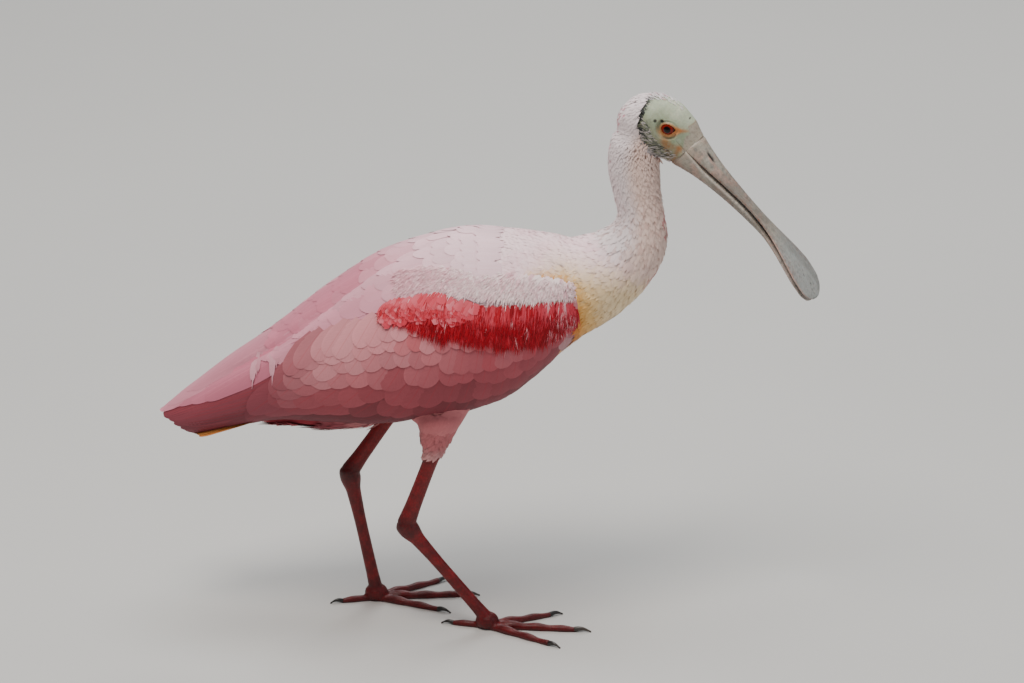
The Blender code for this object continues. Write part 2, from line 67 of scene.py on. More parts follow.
# station x, height of the middle, half width, half height, out to the tips of the feathers
BODY = [
    (0.137, 0.2950, 0.017, 0.0170),
    (0.131, 0.2930, 0.033, 0.0340),
    (0.115, 0.2900, 0.047, 0.0455),
    (0.090, 0.2798, 0.058, 0.0610),
    (0.060, 0.2700, 0.066, 0.0740),
    (0.020, 0.2625, 0.069, 0.0800),
    (-0.030, 0.2510, 0.067, 0.0765),
    (-0.080, 0.2355, 0.056, 0.0610),
    (-0.130, 0.2165, 0.040, 0.0410),
    (-0.165, 0.2005, 0.030, 0.0325),
    (-0.195, 0.1855, 0.021, 0.0235),
    (-0.222, 0.1775, 0.009, 0.0085),
]
BODY_FRONT, BODY_REAR = BODY[0][0], BODY[-1][0]
# centreline of the neck x, y, z, then its half width and its half depth fore and aft
NECK = [
    (0.098, 0.000, 0.2870, 0.0460, 0.0420),
    (0.130, 0.000, 0.2998, 0.0400, 0.0368),
    (0.155, 0.000, 0.3155, 0.0320, 0.0318),
    (0.1705, 0.000, 0.336, 0.0250, 0.0262),
    (0.1735, 0.001, 0.357, 0.0205, 0.0200),
    (0.1690, 0.002, 0.380, 0.0195, 0.0200),
    (0.1660, 0.003, 0.402, 0.0200, 0.0212),
    (0.1705, 0.003, 0.4245, 0.0190, 0.0205),
    (0.1800, 0.003, 0.440, 0.0130, 0.0140),
]
# station x, height, half width and half height of the soft feathers under the tail
UNDERTAIL = [
    (-0.052, 0.1865, 0.026, 0.0160),
    (-0.080, 0.1825, 0.024, 0.0140),
    (-0.110, 0.1790, 0.020, 0.0110),
    (-0.138, 0.1755, 0.015, 0.0065),
    (-0.156, 0.1725, 0.008, 0.0020),
]
# the joints of each leg, where its toes meet the floor, and the share of the way down where feathers end
LEGS = {
    "right": dict(
        knee=np.array((0.0315, -0.0330, 0.239)), ankle=np.array((-0.0205, -0.0285, 0.0925)),
        toes=(0.0470, -0.0300), end=0.577,
    ),
    "left": dict(
        knee=np.array((0.0190, 0.0330, 0.2450)), ankle=np.array((-0.0680, 0.0275, 0.1170)),
        toes=(-0.0460, 0.0290), end=0.60,
    ),
}
THIGH_BACK = -0.016
# share of the thigh's length, half width, half depth fore and aft
THIGH = [
    (0.00, 0.0240, 0.0330),
    (0.45, 0.0200, 0.0255),
    (0.70, 0.0150, 0.0180),
    (0.87, 0.0112, 0.0122),
    (1.00, 0.0088, 0.0090),
]


def between(rows, tangent, i, width, t):
    """The curve from row i to the next at shares t of the gap, along the tangents at both ends."""
    ease = 3 * t**2 - 2 * t**3
    start, end = (t**3 - 2 * t**2 + t) * width, (t**3 - t**2) * width
    return (1 - ease) * rows[i] + ease * rows[i + 1] + start * tangent[i] + end * tangent[i + 1]


def curve_through(table, at):
    """Rows read at values of a table's first column, along a smooth curve that never overshoots."""
    rows = np.array(table, float)
    if rows[0, 0] > rows[-1, 0]:
        rows = rows[::-1]
    x, y = rows[:, 0], rows[:, 1:]
    slope = np.diff(y, axis=0) / np.diff(x)[:, None]
    total = np.where(slope[1:] + slope[:-1] == 0, 1.0, slope[1:] + slope[:-1])
    inner = np.where(slope[1:] * slope[:-1] > 0, 2 * slope[1:] * slope[:-1] / total, 0.0)
    tangent = np.vstack([slope[:1], inner, slope[-1:]])
    at = np.atleast_1d(np.asarray(at, float))
    i = np.clip(np.searchsorted(x, at) - 1, 0, len(x) - 2)
    width = (x[i + 1] - x[i])[:, None]
    t = np.clip((at - x[i])[:, None] / width, 0, 1)
    return between(y, tangent, i, width, t)


def path_through(points, count):
    """Evenly spaced rows along a smooth curve through points. Columns past the third are carried along."""
    rows = np.array(points, float)
    reach = np.concatenate([[0], np.cumsum(np.linalg.norm(np.diff(rows[:, :3], axis=0), axis=1))])
    tangent = np.gradient(rows, reach, axis=0)
    fine = np.linspace(0, reach[-1], 400)
    i = np.clip(np.searchsorted(reach, fine) - 1, 0, len(rows) - 2)
    width = (reach[i + 1] - reach[i])[:, None]
    t = (fine - reach[i])[:, None] / width
    curve = between(rows, tangent, i, width, t)
    length = np.concatenate([[0], np.cumsum(np.linalg.norm(np.diff(curve[:, :3], axis=0), axis=1))])
    wanted = np.linspace(0, length[-1], count)
    return np.stack([np.interp(wanted, length, column) for column in curve.T], 1)


def unit(vectors):
    """Vectors brought to length one."""
    return vectors / np.maximum(np.linalg.norm(vectors, axis=-1, keepdims=True), 1e-12)


def smooth(low, high, value):
    """An even step from 0 at low to 1 at high."""
    t = np.clip((np.asarray(value, float) - low) / (high - low), 0, 1)
    return t * t * (3 - 2 * t)


def hump(value, middle, width):
    """A soft hump that is 1 at the middle and fades to nothing on both sides."""
    return np.exp(-(((value - middle) / width) ** 2))


def body_point(x, angle, deeper):
    """Points on the body, at angles in radians round from the top of the back, some way under the plumage."""
    height, across, up = curve_through(BODY, x).T
    across, up = np.maximum(across - deeper, 0.002), np.maximum(up - deeper, 0.002)
    return np.stack([x + 0 * angle, across * np.sin(angle), height + up * np.cos(angle)], -1)


def tube_rings(path, sides, deeper=0.0, facing=None):
    """Oval rings along rows of x, y, z, half width and half depth, square to the path or facing one way."""
    turn = np.linspace(0, 2 * pi, sides, endpoint=False)
    forward = unit(np.gradient(path[:, :3], axis=0)) if facing is None else np.tile(facing, (len(path), 1))
    fore = unit(np.cross(forward, (0.0, 1.0, 0.0)))
    wide = np.cross(fore, forward)
    across, along = np.maximum(path[:, 3:5] - deeper, 0.0008).T
    return (
        path[:, None, :3]
        + wide[:, None] * (across[:, None] * np.cos(turn))[..., None]
        + fore[:, None] * (along[:, None] * np.sin(turn))[..., None]
    )


def add_rings(mesh, rings):
    """Adds a closed tube through rings of points to a bmesh."""
    made = [[mesh.verts.new(point) for point in ring] for ring in rings]
    count = len(made[0])
    for low, high in zip(made, made[1:]):
        for k in range(count):
            mesh.faces.new((low[k - 1], low[k], high[k], high[k - 1]))
    mesh.faces.new(made[0])
    mesh.faces.new(made[-1][::-1])


def make_object(name, mesh):
    """Turns a bmesh into an object whose faces point outwards."""
    bmesh.ops.recalc_face_normals(mesh, faces=mesh.faces)
    data = bpy.data.meshes.new(name)
    mesh.to_mesh(data)
    mesh.free()
    thing = bpy.data.objects.new(name, data)
    bpy.context.scene.collection.objects.link(thing)
    return thing


def shade_smooth(thing, corners=None):
    """Smooth shading, on every face or only on those with this many corners."""
    for face in thing.data.polygons:
        face.use_smooth = corners in (None, len(face.vertices))


def settle(thing):
    """Makes an object's modifiers part of its mesh."""
    graph = bpy.context.evaluated_depsgraph_get()
    mesh = bpy.data.meshes.new_from_object(thing.evaluated_get(graph))
    old = thing.data
    thing.modifiers.clear()
    thing.data = mesh
    bpy.data.meshes.remove(old)
    return thing


def fuse(thing, voxel, rounds):
    """Melts overlapping closed tubes into one even surface and smooths where they join."""
    remesh = thing.modifiers.new("fuse", "REMESH")
    remesh.mode = "VOXEL"
    remesh.voxel_size = voxel
    ease = thing.modifiers.new("ease", "SMOOTH")
    ease.iterations = rounds
    return settle(thing)


BODY_END = -0.218
stations = BODY_FRONT - (BODY_FRONT - BODY_END) * (1 - np.cos(np.linspace(0, pi, 60))) / 2
around = np.linspace(0, 2 * pi, 72, endpoint=False)
flesh = bmesh.new()
add_rings(flesh, [body_point(x, around, BODY_COAT) for x in stations])
neck_line = path_through(NECK, 60)
add_rings(flesh, tube_rings(neck_line, 48, NECK_COAT))
under_line = path_through([(x, 0.0, z, a, b) for x, z, a, b in UNDERTAIL], 14)
add_rings(flesh, tube_rings(under_line, 24, UNDERTAIL_COAT))
thigh_line = {}
for side in SIDES:
    leg = LEGS[side]
    share = np.linspace(0, 1, 24)
    knee, ankle = leg["knee"], leg["ankle"]
    middle = knee + (ankle - knee) * (share * leg["end"])[:, None]
    middle[:, 0] += THIGH_BACK * (1 - share)
    thigh_line[side] = np.hstack([middle, curve_through(THIGH, share)])
    add_rings(flesh, tube_rings(thigh_line[side], 32, THIGH_COAT))
trunk = fuse(make_object("trunk_flesh", flesh), 0.0027, 12)

# Bare legs and feet
# Thin bones under horny skin, with the swollen ankle half way and four long toes joined by small webs at
# their roots. They are cast in one piece with the body and stand on the flattened undersides of the toes.
SHANK = [(0.0, 0.0062, 0.0070), (0.35, 0.0054, 0.0062), (0.75, 0.0055, 0.0066), (1.0, 0.0066, 0.0078)]
TARSUS = [
    (0.00, 0.0040, 0.0044),
    (0.035, 0.0073, 0.0085),
    (0.09, 0.0075, 0.0088),
    (0.20, 0.0050, 0.0062),
    (0.50, 0.0042, 0.0050),
    (0.85, 0.0046, 0.0052),
    (1.00, 0.0062, 0.0060),
]
ANKLE_CAP, BALL_HEIGHT = 0.0060, 0.0085
FOOT_HEADING = {"right": radians(-6), "left": radians(5)}
# heading from the foot's own, length of the toe from the ball, radius at its root, length of its claw
TOES = {
    "inner": dict(turn=radians(30), length=0.058, radius=0.0042, claw=0.0110),
    "middle": dict(turn=radians(0), length=0.074, radius=0.0045, claw=0.0130),
    "outer": dict(turn=radians(-29), length=0.063, radius=0.0042, claw=0.0110),
    "hind": dict(turn=radians(172), length=0.030, radius=0.0038, claw=0.0095),
}
TOE_SUNK, TOE_TAPER, PAD_SPACING = 0.80, 0.42, 0.021
WEB_REACH, WEB_TOP, WEB_BOTTOM = 0.0188, 0.0038, 0.0014


def toe_way(side, toe):
    """The ball of a foot, the way one of its toes points, and its radius at distances from the ball."""
    ball = np.array((*LEGS[side]["toes"], 0.0))
    heading = FOOT_HEADING[side] + TOES[toe]["turn"] * -SIDES[side]
    size = TOES[toe]

    def radius(reach):
        swelling = 1 + 0.10 * np.cos(2 * pi * reach / PAD_SPACING)
        return size["radius"] * (1 - TOE_TAPER * reach / size["length"]) * swelling

    return ball, np.array((cos(heading), sin(heading), 0.0)), radius


horn_skin = bmesh.new()
leg_lines = {}
for side in SIDES:
    leg = LEGS[side]
    knee, ankle = leg["knee"], leg["ankle"]
    ball = np.array((*leg["toes"], BALL_HEIGHT))
    share = np.linspace(0, 1, 40)
    start = leg["end"] - 0.10
    shank = np.hstack([
        knee + (ankle - knee) * (start + (0.99 - start) * share)[:, None], curve_through(SHANK, share)
    ])
    top = ankle + unit(ankle - ball) * ANKLE_CAP
    tarsus = np.hstack([top + (ball - top) * share[:, None], curve_through(TARSUS, share)])
    leg_lines[side] = (shank, tarsus)
    add_rings(horn_skin, tube_rings(shank, 24))
    add_rings(horn_skin, tube_rings(tarsus, 24))
    knob = bmesh.ops.create_uvsphere(horn_skin, u_segments=24, v_segments=16, radius=1.0)["verts"]
    for vertex in knob:
        vertex.co = Vector((
            ball[0] + vertex.co.x * 0.0098, ball[1] + vertex.co.y * 0.0078, 0.0070 + vertex.co.z * 0.0078
        ))
    corner = {}
    for toe, size in TOES.items():
        ball_floor, facing, radius = toe_way(side, toe)
        reach = np.linspace(0.002, size["length"] - 0.0004, 34)
        thick = radius(reach)
        place = ball_floor + facing * reach[:, None]
        place[:, 2] = thick * TOE_SUNK
        add_rings(horn_skin, tube_rings(np.column_stack([place, thick, thick * 0.92]), 20, facing=facing))
        corner[toe] = ball_floor + facing * WEB_REACH
    for first, second in (("inner", "middle"), ("middle", "outer")):
        hollow = (corner[first] + corner[second]) / 2 * 0.74 + ball_floor * 0.26
        rim = [ball_floor, corner[first], hollow, corner[second]]
        low = [horn_skin.verts.new((p[0], p[1], WEB_BOTTOM)) for p in rim]
        high = [horn_skin.verts.new((p[0], p[1], WEB_TOP)) for p in rim]
        horn_skin.faces.new(low)
        horn_skin.faces.new(high)
        for i in range(4):
            horn_skin.faces.new((low[i - 1], low[i], high[i], high[i - 1]))
legs = fuse(make_object("leg_skin", horn_skin), 0.0009, 3)
for vertex in legs.data.vertices:
    vertex.co.z = max(vertex.co.z, 0.0)

# Bare head
# Skin with hardly a feather stretched over the skull: a domed crown, a deep cheek, lids round a sunken eye
# and a fold where it meets the bill. Its frame is turned and pitched with the bill, from the gape's middle.
GAPE = np.array((0.2105, -0.0060, 0.4225))
HEAD_YAW, HEAD_PITCH = radians(14.5), radians(48.2)
HEAD_AXES = np.array(
    (
        (cos(HEAD_YAW) * cos(HEAD_PITCH), -sin(HEAD_YAW) * cos(HEAD_PITCH), -sin(HEAD_PITCH)),
        (sin(HEAD_YAW), cos(HEAD_YAW), 0.0),
        (cos(HEAD_YAW) * sin(HEAD_PITCH), -sin(HEAD_YAW) * sin(HEAD_PITCH), cos(HEAD_PITCH)),
    )
)
# distance ahead of the gape, top, bottom and half width
HEAD = [
    (-0.0550, -0.0120, -0.0180, 0.0030),
    (-0.0525, -0.0040, -0.0280, 0.0100),
    (-0.0455, 0.0070, -0.0345, 0.0155),
    (-0.0350, 0.0150, -0.0360, 0.0185),
    (-0.0230, 0.0185, -0.0335, 0.0183),
    (-0.0110, 0.0185, -0.0300, 0.0158),
    (0.0000, 0.0158, -0.0240, 0.0128),
    (0.0035, 0.0150, -0.0225, 0.0122),
]
EYE_AHEAD, EYE_UP, EYE_OUT, EYE_RADIUS = -0.0207, 0.0015, 0.0102, 0.0077
LID_LONG, LID_TALL, LID_THICK = 0.0052, 0.0043, 0.0005
LID_SLANT = radians(40)  # the corners of the eye lie on a line this far above the bill's own line


def in_head(ahead, left, up):
    """Points given in the head's frame, as places where the body is measured."""
    return GAPE + np.stack(np.broadcast_arrays(ahead, left, up), -1) @ HEAD_AXES


def to_head(points):
    """Distances ahead, left and up in the head's frame."""
    return ((points - GAPE) @ HEAD_AXES.T).T


def eye_axes(ahead, up):
    """Distances from the middle of the eye towards its front corner and square to that."""
    ahead, up = ahead - EYE_AHEAD, up - EYE_UP
    return ahead * cos(LID_SLANT) + up * sin(LID_SLANT), up * cos(LID_SLANT) - ahead * sin(LID_SLANT)


def eye_distance(ahead, up):
    """Distance from the middle of the eye, where 1 is the edge of the lids."""
    long, tall = eye_axes(ahead, up)
    corner = 1 + 0.22 * smooth(0.0, 0.006, long) * (1 - smooth(0.0, 0.004, np.abs(tall)))
    return np.hypot(long / (LID_LONG * corner), tall / LID_TALL)


def eyeball_out(ahead, up, grow=0.0):
    """How far out from the head's middle the surface of the eyeball lies."""
    room = (EYE_RADIUS + grow) ** 2 - (ahead - EYE_AHEAD) ** 2 - (up - EYE_UP) ** 2
    return EYE_OUT + np.sqrt(np.maximum(room, 0.0))


share = (1 - np.cos(np.linspace(0, pi, 120))) / 2
share = 0.75 * np.linspace(0, 1, 120) + 0.25 * share
turn = np.linspace(0, 2 * pi, 220, endpoint=False)
rings = []
for along in share:
    ahead = HEAD[0][0] + (HEAD[-1][0] - HEAD[0][0]) * along
    top, bottom, half = curve_through(HEAD, ahead)[0]
    middle, tall = (top + bottom) / 2, (top - bottom) / 2
    left, up = half * np.cos(turn), middle + tall * np.sin(turn)
    out = np.abs(left)
    reach = eye_distance(ahead, up)
    away = np.hypot(ahead - EYE_AHEAD, up - EYE_UP)
    lid = eyeball_out(ahead, up, LID_THICK)
    rim = 0.0012 * smooth(0.0005, 0.0040, up - EYE_UP)  # the lid is narrower above the eye
    out = np.where(up > -0.012, out + (lid - out) * (1 - smooth(0.0060 - rim, 0.0105 - 2.6 * rim, away)), out)
    out += 0.00045 * hump(reach, 1.12, 0.11)
    out += 0.00030 * hump(reach, 1.75, 0.16) - 0.00035 * hump(reach, 1.45, 0.13)
    out -= (LID_THICK + 0.0022) * (1 - smooth(0.93, 1.03, reach))
    brow = hump(up, 0.0085, 0.0022) * smooth(-0.036, -0.028, ahead) * smooth(-0.006, -0.014, ahead)
    out += 0.0006 * brow
    gape_fold = hump(up + 0.0012 + 0.10 * ahead, 0.0, 0.0008) * smooth(-0.012, -0.004, ahead)
    out -= 0.0009 * gape_fold
    left = np.sign(left) * out
    rings.append(in_head(ahead, left, up))
head_mesh = bmesh.new()
add_rings(head_mesh, rings)
head = make_object("head_skin", head_mesh)

# One skin over the whole bird
# Trunk, legs and head are one unbroken hide. Where feathers cover it, it carries their colours; the face is
# pale green with ochre by the eye and a black band behind, and the legs are dark red horn in small scales.
for part in (legs, head):
    join = trunk.modifiers.new("join", "BOOLEAN")
    join.operation = "UNION"
    join.solver = "MANIFOLD"
    join.object = part
skin = settle(trunk)
skin.name = "bird_skin"
for part in (legs, head):
    bpy.data.objects.remove(part)


def points_of(thing):
    """The corners of a mesh as an array."""
    places = np.empty(len(thing.data.vertices) * 3)
    thing.data.vertices.foreach_get("co", places)
    return places.reshape(-1, 3)


def put_points(thing, places):
    thing.data.vertices.foreach_set("co", places.ravel())
    thing.data.update()


def paint(*shades):
    """Colours given as they show on a screen, as the linear ones that a material takes."""
    parts = np.array([[int(shade[k : k + 2], 16) / 255 for k in (1, 3, 5)] for shade in shades])
    linear = np.where(parts > 0.04045, ((parts + 0.055) / 1.055) ** 2.4, parts / 12.92)
    return linear if len(shades) > 1 else linear[0]


def mix(first, second, share):
    """Blends two colours, or lists of them, by a share from 0 to 1."""
    share = np.asarray(share, float)[..., None]
    return first * (1 - share) + second * share


def ripple(points, size, seed):
    """A soft random pattern from -1 to 1, whose patches are about one size across."""
    dice = default_rng(seed)
    total = np.zeros(len(points))
    for _ in range(9):
        way = unit(dice.normal(size=3)) * dice.uniform(0.7, 1.5) * 2 * pi / size
        total += np.sin(points @ way + dice.uniform(0, 2 * pi) + 1.3 * np.sin(points @ way[[1, 2, 0]] * 0.7))
    return np.clip(total / 3.2, -1, 1)


def neck_place(points):
    """Share of the neck's length at each point, distance from its middle line, and how far to the front."""
    line = neck_line[:, :3]
    best, away = np.zeros(len(points), int), np.full(len(points), 1e9)
    for k, place in enumerate(line):
        apart = np.linalg.norm(points - place, axis=1)
        nearer = apart < away
        best[nearer], away[nearer] = k, apart[nearer]
    tangent = unit(np.gradient(line, axis=0))
    front = unit(np.cross((0.0, 1.0, 0.0), tangent)[best])
    facing = np.einsum("ij,ij->i", unit(points - line[best]), front)
    return best / (len(line) - 1), away, facing


def middle_height(points):
    """Height of the body's middle at the stations of points."""
    return curve_through(BODY, np.clip(points[:, 0], BODY_REAR, BODY_FRONT))[:, 0]


def body_turn(points):
    """Degrees round from the top of the back, 0 to 180, of points on the trunk."""
    return np.degrees(np.arctan2(np.abs(points[:, 1]), points[:, 2] - middle_height(points)))


# stations along the body, and degrees on the right from the back's middle line to the cleft between the wings
CLEFT = [
    (0.06, 2.0), (0.02, 4.0), (-0.013, 9.0), (-0.041, 16.0), (-0.066, 23.0), (-0.090, 29.5), (-0.115, 35.0),
    (-0.150, 38.0), (-0.222, 30.0)
]


def cleft(x):
    return np.interp(x, *np.array(CLEFT)[::-1].T)


def trench(x, turn):
    """Depth of the groove along the cleft, where the two packs of shoulder feathers meet."""
    wide = 5.5 + 2.0 * smooth(-0.02, -0.12, x)
    return 0.0040 * hump(turn, cleft(x), wide) * smooth(0.015, -0.035, x) * smooth(-0.200, -0.150, x)


# the camera looks down by this angle at this height, and the breast's stains were placed as it sees them
VIEW_TILT, VIEW_HEIGHT = radians(22), 0.245
# the wing's front edge, as stations and drops down the side, along which the breast is stained orange
WING_BEND = np.array([(110.0, 52.0), (116.2, 45.0), (122.5, 37.0), (127.5, 22.0), (126.0, 5.0)]) / 1000


def plumage_colour(points):
    """The markings of the trunk, neck and thighs, with painted shade on the vent under the wings."""
    x, y, z = points.T
    share, away, facing = neck_place(points)
    turn = body_turn(points)
    cloud = ripple(points, 0.030, 3)
    white, pink, back_pink = paint("#f7dade", "#efbbc6", "#dc9aab")
    cream, yellow, orange = paint("#f0d6ac", "#e7b768", "#da8532")
    colour = mix(white, pink, 0.30 * smooth(0.0, 0.9, cloud) + 0.30 * smooth(0.05, -0.05, x))
    colour = mix(colour, back_pink, smooth(-0.02, -0.11, x))
    fall = (z - VIEW_HEIGHT) * cos(VIEW_TILT) - np.abs(y) * sin(VIEW_TILT)
    colour = mix(colour, cream, smooth(0.085, 0.125, x) * smooth(0.080, 0.045, fall))
    from_wing = from_line(WING_BEND, x, fall)
    near_wing = smooth(0.034, 0.006, np.abs(from_wing)) * smooth(0.062, 0.046, fall) * (x > 0.09)
    colour = mix(colour, yellow, near_wing)
    colour = mix(colour, orange, 0.97 * hump(from_wing, 0.0, 0.0092) * smooth(0.058, 0.048, fall))
    belly, belly_rear = paint("#cf7d80", "#bb5a60")
    below = smooth(112, 138, turn) * smooth(0.124, 0.098, x)
    colour = mix(colour, mix(belly, belly_rear, smooth(0.03, -0.08, x)), below)
    rose = paint("#cf6f7a")
    colour = mix(colour, rose, smooth(58, 64, turn) * smooth(0.070, 0.060, x) * (1 - below))
    colour = mix(colour, rose, smooth(-0.185, -0.200, x))
    neck = smooth(0.34, 0.46, share) * (away < 0.05) * (x > 0.09)
    throat, nape, fleck = paint("#f1d3c6", "#efe2e3", "#b78a80")
    on_neck = 0.91 * mix(throat, nape, smooth(0.2, -0.6, facing))
    colour = mix(colour, on_neck, neck)
    speck = (
        smooth(0.25, 0.9, ripple(points, 0.0045, 5)) * smooth(0.30, 0.42, share) * smooth(0.78, 0.60, share)
    )
    colour = mix(colour, fleck, 0.38 * speck * (away < 0.06) * (x > 0.09))
    low_edge, dusty = paint("#d3a5a3", "#bb6a6e")
    on_thigh = mix(low_edge, dusty, smooth(0.152, 0.176, z))
    colour = mix(colour, on_thigh, smooth(0.206, 0.184, z) * (x > -0.10))
    # the vent: its own deep red, darkened further by painted shade where it lies under the wings' lower edge
    undertail_and_shade, undertail_red = paint("#8f3f48", "#9a2c38")
    vent = (x < -0.045) & (x > -0.170) & (z < 0.197)
    colour = np.where(vent[:, None], mix(undertail_and_shade, undertail_red, smooth(-0.06, -0.10, x)), colour)
    return colour


# where the black band behind the face runs, as distances ahead of the gape and up
BAND = np.array([
    (-48.6, 5.0), (-47.8, 1.5), (-46.0, -4.2), (-42.9, -9.4), (-40.2, -13.6), (-33.6, -17.2), (-28.6, -19.6),
    (-21.1, -20.6), (-11.0, -21.5), (0.0, -18.5)
]) / 1000


def from_line(line, ahead, up):
    """Distance from a line of points, and which side of it: positive towards the face."""
    nearest, side = np.full(np.shape(ahead), 1e9), np.zeros(np.shape(ahead))
    for (a0, u0), (a1, u1) in zip(line, line[1:]):
        along = np.clip(
            ((ahead - a0) * (a1 - a0) + (up - u0) * (u1 - u0)) / ((a1 - a0) ** 2 + (u1 - u0) ** 2), 0, 1
        )
        apart = np.hypot(ahead - a0 - along * (a1 - a0), up - u0 - along * (u1 - u0))
        across = (a1 - a0) * (up - u0) - (u1 - u0) * (ahead - a0)
        side = np.where(apart < nearest, across, side)
        nearest = np.minimum(nearest, apart)
    return nearest * np.sign(side)


# where the horn of the upper bill begins, from the forehead down to the corner of the mouth
HORN_EDGE = np.array([
    (-9.2, 20.0), (-10.2, 16.7), (-10.8, 14.2), (-5.6, 11.0), (-6.0, 6.2), (-1.5, 2.0), (0.0, -0.5)
]) / 1000


def face_colour(points):
    """The markings of the bare head."""
    ahead, left, up = to_head(points)
    crown, high, cheek, grey = paint("#9aa589", "#c0c6ae", "#94987c", "#777c6f")
    colour = mix(
        crown, high, smooth(0.006, 0.018, up) * 0.7 + 0.3 * smooth(0.0, 0.9, ripple(points, 0.012, 7))
    )
    colour = mix(colour, cheek, smooth(-0.002, -0.012, up))
    colour = mix(colour, grey, 0.45 * smooth(0.2, 0.9, ripple(points, 0.005, 8)) * smooth(-0.002, -0.010, up))
    ochre, orange, peach, green = paint("#98652f", "#b56c2e", "#cf9460", "#96a381")
    patch = hump(ahead, -0.0105, 0.0072) * hump(up, -0.0068, 0.0036)
    colour = mix(colour, ochre, np.clip(1.15 * patch, 0, 0.85) * (0.75 + 0.25 * ripple(points, 0.0032, 19)))
    stripe = from_line(np.array([(-0.014, -0.0085), (-0.007, -0.0120), (0.001, -0.0170)]), ahead, up)
    colour = mix(colour, ochre, 0.60 * hump(stripe, 0.0, 0.0024))
    below_gape = from_line(np.array([(-0.0020, -0.0030), (0.0005, -0.0090), (0.0030, -0.0150)]), ahead, up)
    colour = mix(colour, ochre, 0.75 * hump(below_gape, 0.0, 0.0022))
    corner = hump(ahead, -0.001, 0.0045) * hump(up, -0.0030, 0.0022)
    colour = mix(colour, orange, 0.6 * corner)
    crescent = hump(ahead, -0.0105, 0.0040) * hump(up, -0.0018, 0.0022)
    colour = mix(colour, green, 0.9 * crescent)
    long, tall = eye_axes(ahead, up)
    reach = eye_distance(ahead, up)
    seen = np.abs(left) > 0.008
    round_lid = reach + 0.55 * smooth(0.001, 0.004, tall)
    colour = mix(
        colour, peach, seen * 0.95 * smooth(2.05, 1.55, round_lid) * smooth(-0.012, 0.004, long - tall)
    )
    colour = mix(colour, orange, seen * 0.85 * smooth(1.42, 1.12, reach))
    streak = hump(tall, 0.0, 0.0026 - 0.0016 * smooth(0.006, 0.018, long)) * smooth(0.022, 0.012, long)
    colour = mix(colour, orange, seen * 0.75 * streak * smooth(0.003, 0.006, long))
    fold, black, soot = paint("#8a6a55", "#1b1d1c", "#4a4b47")
    sheath = from_line(HORN_EDGE, ahead, up) + 0.0004 * ripple(points, 0.003, 9)
    horny = mix(paint("#b0a594"), paint("#8d8478"), 0.5 * smooth(0.1, 0.9, ripple(points, 0.0032, 12)))
    colour = mix(
        colour, horny, smooth(-0.0006, 0.0008, sheath) * smooth(-0.0135, -0.0115, ahead) * (up > -0.0035)
    )
    brow_fold = from_line(HORN_EDGE[:3], ahead, up)
    colour = mix(colour, fold, 0.55 * hump(brow_fold, 0.0, 0.0007))
    for spot_ahead, spot_up, size in (
        (-0.0324, -0.0015, 0.0014), (-0.0284, 0.0020, 0.0015), (-0.0150, 0.0178, 0.0006)
    ):
        spot = np.hypot(ahead - spot_ahead, up - spot_up) / size
        colour = mix(colour, black, 0.9 * smooth(1.25, 0.75, spot) * (left < 0))
        colour = mix(colour, black, 0.9 * smooth(1.25, 0.75, spot + 0.3) * (left > 0))
    band = from_line(BAND, ahead, up)
    ragged = 0.0008 * ripple(points, 0.0035, 11) + 0.0005 * ripple(points, 0.0016, 12)
    whole = 1 - 0.75 * hump(ahead, -0.0375, 0.0016) - 0.85 * smooth(-0.029, -0.022, ahead)
    whole = whole * (1 - 0.6 * smooth(-0.004, 0.001, up))
    patchy = 0.55 + 0.45 * smooth(-0.5, 0.2, ripple(points, 0.0030, 16))
    colour = mix(
        colour, black, 0.92 * whole * patchy * smooth(0.0030, 0.0010, np.abs(band - 0.0012 + ragged))
    )
    near = (
        smooth(0.0, 0.002, band) * smooth(0.0125, 0.006, band) * smooth(-0.042, -0.030, ahead)
        * smooth(0.006, 0.0, ahead)
    )
    colour = mix(colour, grey, 0.55 * near * smooth(-0.6, 0.5, ripple(points, 0.0045, 17)))
    streaky = ripple(points * np.array((1.0, 1.0, 0.45)), 0.0034, 13) * 0.7 + 0.3 * ripple(points, 0.0014, 18)
    colour = mix(colour, soot, 0.60 * near * smooth(0.25, 0.65, streaky))
    nape = paint("#e9e0e2")
    colour = mix(colour, nape, smooth(-0.0010, -0.0030, band + ragged))
    inside = paint("#5d2b1c")
    colour = mix(colour, inside, seen * smooth(1.03, 0.97, reach))
    chin = smooth(0.10, 0.5, ripple(points, 0.004, 15)) * hump(ahead, -0.001, 0.006) * hump(up, -0.022, 0.004)
    return mix(colour, soot, 0.7 * chin)


def leg_colour(points):
    """The markings of the bare legs, toes and webs."""
    z = points[:, 2]
    red, dark, joint = paint("#840d14", "#45080b", "#2b0809")
    colour = mix(red, dark, (0.42 + 0.26 * ripple(points, 0.011, 21)) * (1 - 0.6 * smooth(0.10, 0.15, z)))
    colour = mix(colour, dark, 0.5 * smooth(0.03, 0.012, z))
    for side in SIDES:
        apart = np.linalg.norm(points - LEGS[side]["ankle"], axis=1)
        colour = mix(colour, joint, 0.55 * smooth(0.016, 0.006, apart))
    return colour


BELLY_LINE, RUMP, THIGH_INSIDE = 0.179, -0.165, 0.028


def gathered(ends, starts, k):
    """At each corner, the sum of one coordinate of the corners that edges join to it."""
    return np.bincount(ends, places[starts, k], len(places))


places = points_of(skin)
height, across, tall = curve_through(BODY, np.clip(places[:, 0], BODY_REAR, BODY_FRONT)).T
round_body = np.degrees(np.arctan2(-places[:, 1] / across, (places[:, 2] - height) / tall))
places[:, 2] -= 1.15 * trench(places[:, 0], round_body)
# the rear of the belly is drawn up, and the rump is shorter than its feathers
under = smooth(-0.085, -0.110, places[:, 0]) * (places[:, 2] < BELLY_LINE)
places[:, 2] += 0.62 * under * (BELLY_LINE - places[:, 2])
places[:, 0] = np.where(places[:, 0] < RUMP, RUMP + 0.70 * (places[:, 0] - RUMP), places[:, 0])
